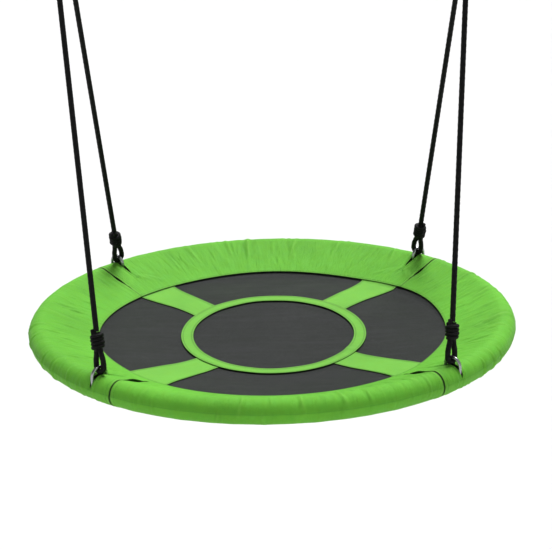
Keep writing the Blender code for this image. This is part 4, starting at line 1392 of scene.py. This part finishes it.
def build_hook(name, x):
    sizes = rope_sizes()
    top_centre = sizes.hook_rod - sizes.hook_top
    bottom_centre = sizes.hook_rod - sizes.hook_length + sizes.hook_bottom
    nose = top_centre - 0.0065
    pin = nose - 0.0006 - sizes.gate_length
    leg_end = pin - sizes.gate_radius - 0.0006
    flat = [(hook_leg(nose, top_centre, bottom_centre), nose)]
    half_turn = [math.radians(turn) for turn in range(0, 181, 10)]
    flat += [(sizes.hook_top * math.cos(turn), top_centre + sizes.hook_top * math.sin(turn))
             for turn in half_turn]
    flat += [(-sizes.hook_bottom * math.cos(turn), bottom_centre - sizes.hook_bottom * math.sin(turn))
             for turn in half_turn]
    flat += [(hook_leg(leg_end, top_centre, bottom_centre), leg_end)]
    path = [(x, y, z) for y, z in flat]
    hook = rod_piece("snap_hook_" + name + "_body", path, sizes.hook_rod, material("zinc"), blunt=False)
    offset = hook_leg(pin, top_centre, bottom_centre)
    bottom = leg_end - 0.002
    top = pin + 0.0024
    tang = box_mesh("tang", (x, offset, (bottom + top) / 2.0), (0.0024, 0.0046, top - bottom))
    cut_away(hook, tang, "UNION")
    settle(hook, material("zinc"), "hangers", ["snap_hook_" + name], sharp=35.0)
    outline = [(-0.0039, 0.0006), (-0.0038, 0.0014), (-0.0034, 0.0018), (-0.0033, 0.0011), (0.0033, 0.0011),
               (0.0034, 0.0018), (0.0038, 0.0014), (0.0039, 0.0006)]
    pivot = (x, offset, pin)
    rivet = add_object("gate_pin_" + name + "_rivet", turned_mesh("rivet", outline, pivot, (1, 0, 0), 24))
    settle(rivet, material("zinc"), "hangers", ["gate_pin_" + name], sharp=35.0)
    radius, reach = sizes.gate_radius, sizes.gate_length
    turns = np.radians(np.linspace(3.0, 90.0, 9))
    outline = [(-radius * math.cos(turn), radius * math.sin(turn)) for turn in turns]
    outline += [(reach * 0.30, radius), (reach * 0.34, radius * 0.86), (reach * 0.62, radius * 0.86),
                (reach * 0.66, radius), (reach - 0.0012, radius), (reach - 0.0004, radius - 0.0004),
                (reach, radius - 0.0012)]
    gate = add_object("snap_gate_" + name + "_rod", turned_mesh("gate", outline, pivot, (0, 0, 1), 32))
    cut_away(gate, box_mesh("slot", (x, offset, pin - 0.0005), (0.0030, 0.0200, 0.0100), 0.0))
    settle(gate, material("zinc"), "gate_" + name, ["snap_gate_" + name], sharp=35.0)


class NESTSWING_OT_hanging_gear(bpy.types.Operator):
    """Build the snap hooks with their gates and rivets, and the hanging rings"""
    bl_idname = "nest_swing.hanging_gear"
    bl_label = "Hooks and rings"

    def execute(self, context):
        sizes = rope_sizes()
        for name, side in (("left", -1.0), ("right", 1.0)):
            x = side * HALF_SPACING
            build_hook(name, x)
            turns = np.radians(np.arange(0, 360, 6))
            bend = sizes.ring_bend
            points = [(x + bend * math.cos(turn), 0.0, RING_CENTRE_Z + bend * math.sin(turn))
                      for turn in turns]
            ring = rod_piece("hanging_ring_" + name + "_rod", points, sizes.ring_rod, material("zinc"),
                             closed=True)
            settle(ring, None, "rings", ["hanging_ring_" + name])
        return {"FINISHED"}


class NESTSWING_OT_frame_finish(bpy.types.Operator):
    """Give the hidden ring tubes, joint sleeves and screws their steel finishes"""
    bl_idname = "nest_swing.frame_finish"
    bl_label = "Ring tubes, sleeves and screws"

    def execute(self, context):
        for name, node in frame["nodes"].items():
            for start, finish in (("frame_tube", "galvanised"), ("joint_sleeve", "galvanised"),
                                  ("joint_screw", "zinc")):
                if name.startswith(start):
                    node.data.materials.clear()
                    node.data.materials.append(material(finish))
        return {"FINISHED"}


# ---------------------------------------------------------------- operators: stage

CAMERA_ELEVATION = math.radians(20.3)
CAMERA_TURN = math.radians(-91.0)
CAMERA_ROLL = math.radians(1.24)
CAMERA_DISTANCE = 3.90
CAMERA_LENS = 123.1
CAMERA_SHIFT_RIGHT = 0.00725
CAMERA_SHIFT_UP = 0.08424
FLOOR_DROP = 0.95
FLOOR_FLAT = 10.0
FLOOR_BEND = 6.0
WALL_TOP = 8.0


class NESTSWING_OT_stage(bpy.types.Operator):
    """Set the floor, the soft lights and the camera"""
    bl_idname = "nest_swing.stage"
    bl_label = "Stage"

    def execute(self, context):
        scene = context.scene
        centre = Vector((0.0, 0.0, RIM_Z))
        floor_mesh = bpy.data.meshes.new("floor")
        level, spokes = RIM_Z - FLOOR_DROP, 96
        turns = 2.0 * math.pi * np.arange(spokes) / spokes
        sweep = [(0.02, 0.0), (FLOOR_FLAT, 0.0)]
        for turn in np.radians(np.arange(6, 91, 6)):
            sweep.append((FLOOR_FLAT + FLOOR_BEND * math.sin(turn), FLOOR_BEND * (1.0 - math.cos(turn))))
        sweep.append((FLOOR_FLAT + FLOOR_BEND, WALL_TOP))
        rings = [[(radius * math.cos(turn), radius * math.sin(turn), level + height) for turn in turns]
                 for radius, height in sweep]
        faces = [tuple(range(spokes))]
        faces += [(k * spokes + j, (k + 1) * spokes + j, (k + 1) * spokes + (j + 1) % spokes,
                   k * spokes + (j + 1) % spokes) for k in range(len(rings) - 1) for j in range(spokes)]
        floor_mesh.from_pydata([point for ring in rings for point in ring], [], faces)
        floor_mesh.shade_smooth()
        floor = add_object("floor", floor_mesh)
        paint = Shader("stage_floor")
        paint.set(Base_Color=(*finishes().floor, 1.0), Roughness=0.9)
        floor_mesh.materials.append(paint.material)
        world = bpy.data.worlds.new("stage_light")
        world.use_nodes = True
        world.node_tree.nodes["Background"].inputs["Color"].default_value = (0.98, 0.99, 1.0, 1.0)
        world.node_tree.nodes["Background"].inputs["Strength"].default_value = 0.12
        scene.world = world
        for name, place, soft, power in (("key_light", (0.16, 0.44, 0.93), 30.0, 3.50),
                                         ("fill_light", (0.60, -0.30, 0.75), 50.0, 0.30)):
            data = bpy.data.lights.new(name, "SUN")
            data.angle = math.radians(soft)
            data.energy = power
            lamp = add_object(name, data)
            lamp.location = centre + Vector(place) * 3.0
            lamp.rotation_euler = Vector(place).to_track_quat("Z", "Y").to_euler()
        data = bpy.data.cameras.new("camera")
        data.lens = CAMERA_LENS
        data.sensor_width = 36.0
        data.shift_x = CAMERA_SHIFT_RIGHT
        data.shift_y = CAMERA_SHIFT_UP
        data.clip_start, data.clip_end = 0.05, 60.0
        camera = add_object("camera", data)
        back = Vector((math.cos(CAMERA_TURN) * math.cos(CAMERA_ELEVATION),
                       math.sin(CAMERA_TURN) * math.cos(CAMERA_ELEVATION), math.sin(CAMERA_ELEVATION)))
        camera.location = centre + back * CAMERA_DISTANCE
        look = (-back).to_track_quat("-Z", "Y").to_matrix() @ Matrix.Rotation(-CAMERA_ROLL, 3, "Z")
        camera.rotation_euler = look.to_euler()
        scene.camera = camera
        scene.view_settings.view_transform = "Standard"
        scene.view_settings.exposure = 0.24
        scene.view_settings.gamma = 0.85
        return {"FINISHED"}


# ---------------------------------------------------------------- add-on

OPERATORS = (NESTSWING_OT_stage, NESTSWING_OT_knots, NESTSWING_OT_ropes, NESTSWING_OT_hoops,
             NESTSWING_OT_hanging_gear, NESTSWING_OT_frame_finish, NESTSWING_OT_foam, NESTSWING_OT_rim_covers,
             NESTSWING_OT_closure_tapes, NESTSWING_OT_mat, NESTSWING_OT_bands, NESTSWING_OT_stitches)
GROUPS = {"nest_swing_seat": NestSwingSeatSizes, "nest_swing_rope": NestSwingRopeSizes,
          "nest_swing_finish": NestSwingFinishes}


class NESTSWING_PT_panel(bpy.types.Panel):
    """Lists the swing's pieces and sizes"""
    bl_idname = "NESTSWING_PT_panel"
    bl_label = "Nest swing"
    bl_space_type = "VIEW_3D"
    bl_region_type = "UI"
    bl_category = "Nest swing"

    def draw(self, context):
        for operator in OPERATORS:
            self.layout.operator(operator.bl_idname)
        for group_name, group in GROUPS.items():
            box = self.layout.box()
            for name in group.__annotations__:
                box.prop(getattr(context.scene, group_name), name)


def register():
    for group_name, group in GROUPS.items():
        bpy.utils.register_class(group)
        setattr(bpy.types.Scene, group_name, PointerProperty(type=group))
    for item in (*OPERATORS, NESTSWING_PT_panel):
        bpy.utils.register_class(item)


def unregister():
    for item in reversed((*OPERATORS, NESTSWING_PT_panel)):
        bpy.utils.unregister_class(item)
    for group_name, group in GROUPS.items():
        delattr(bpy.types.Scene, group_name)
        bpy.utils.unregister_class(group)


def main():
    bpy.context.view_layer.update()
    register()
    for operator in OPERATORS:
        family, name = operator.bl_idname.split(".")
        getattr(getattr(bpy.ops, family), name)()
    bpy.context.view_layer.update()


if __name__ == "__main__":
    main()
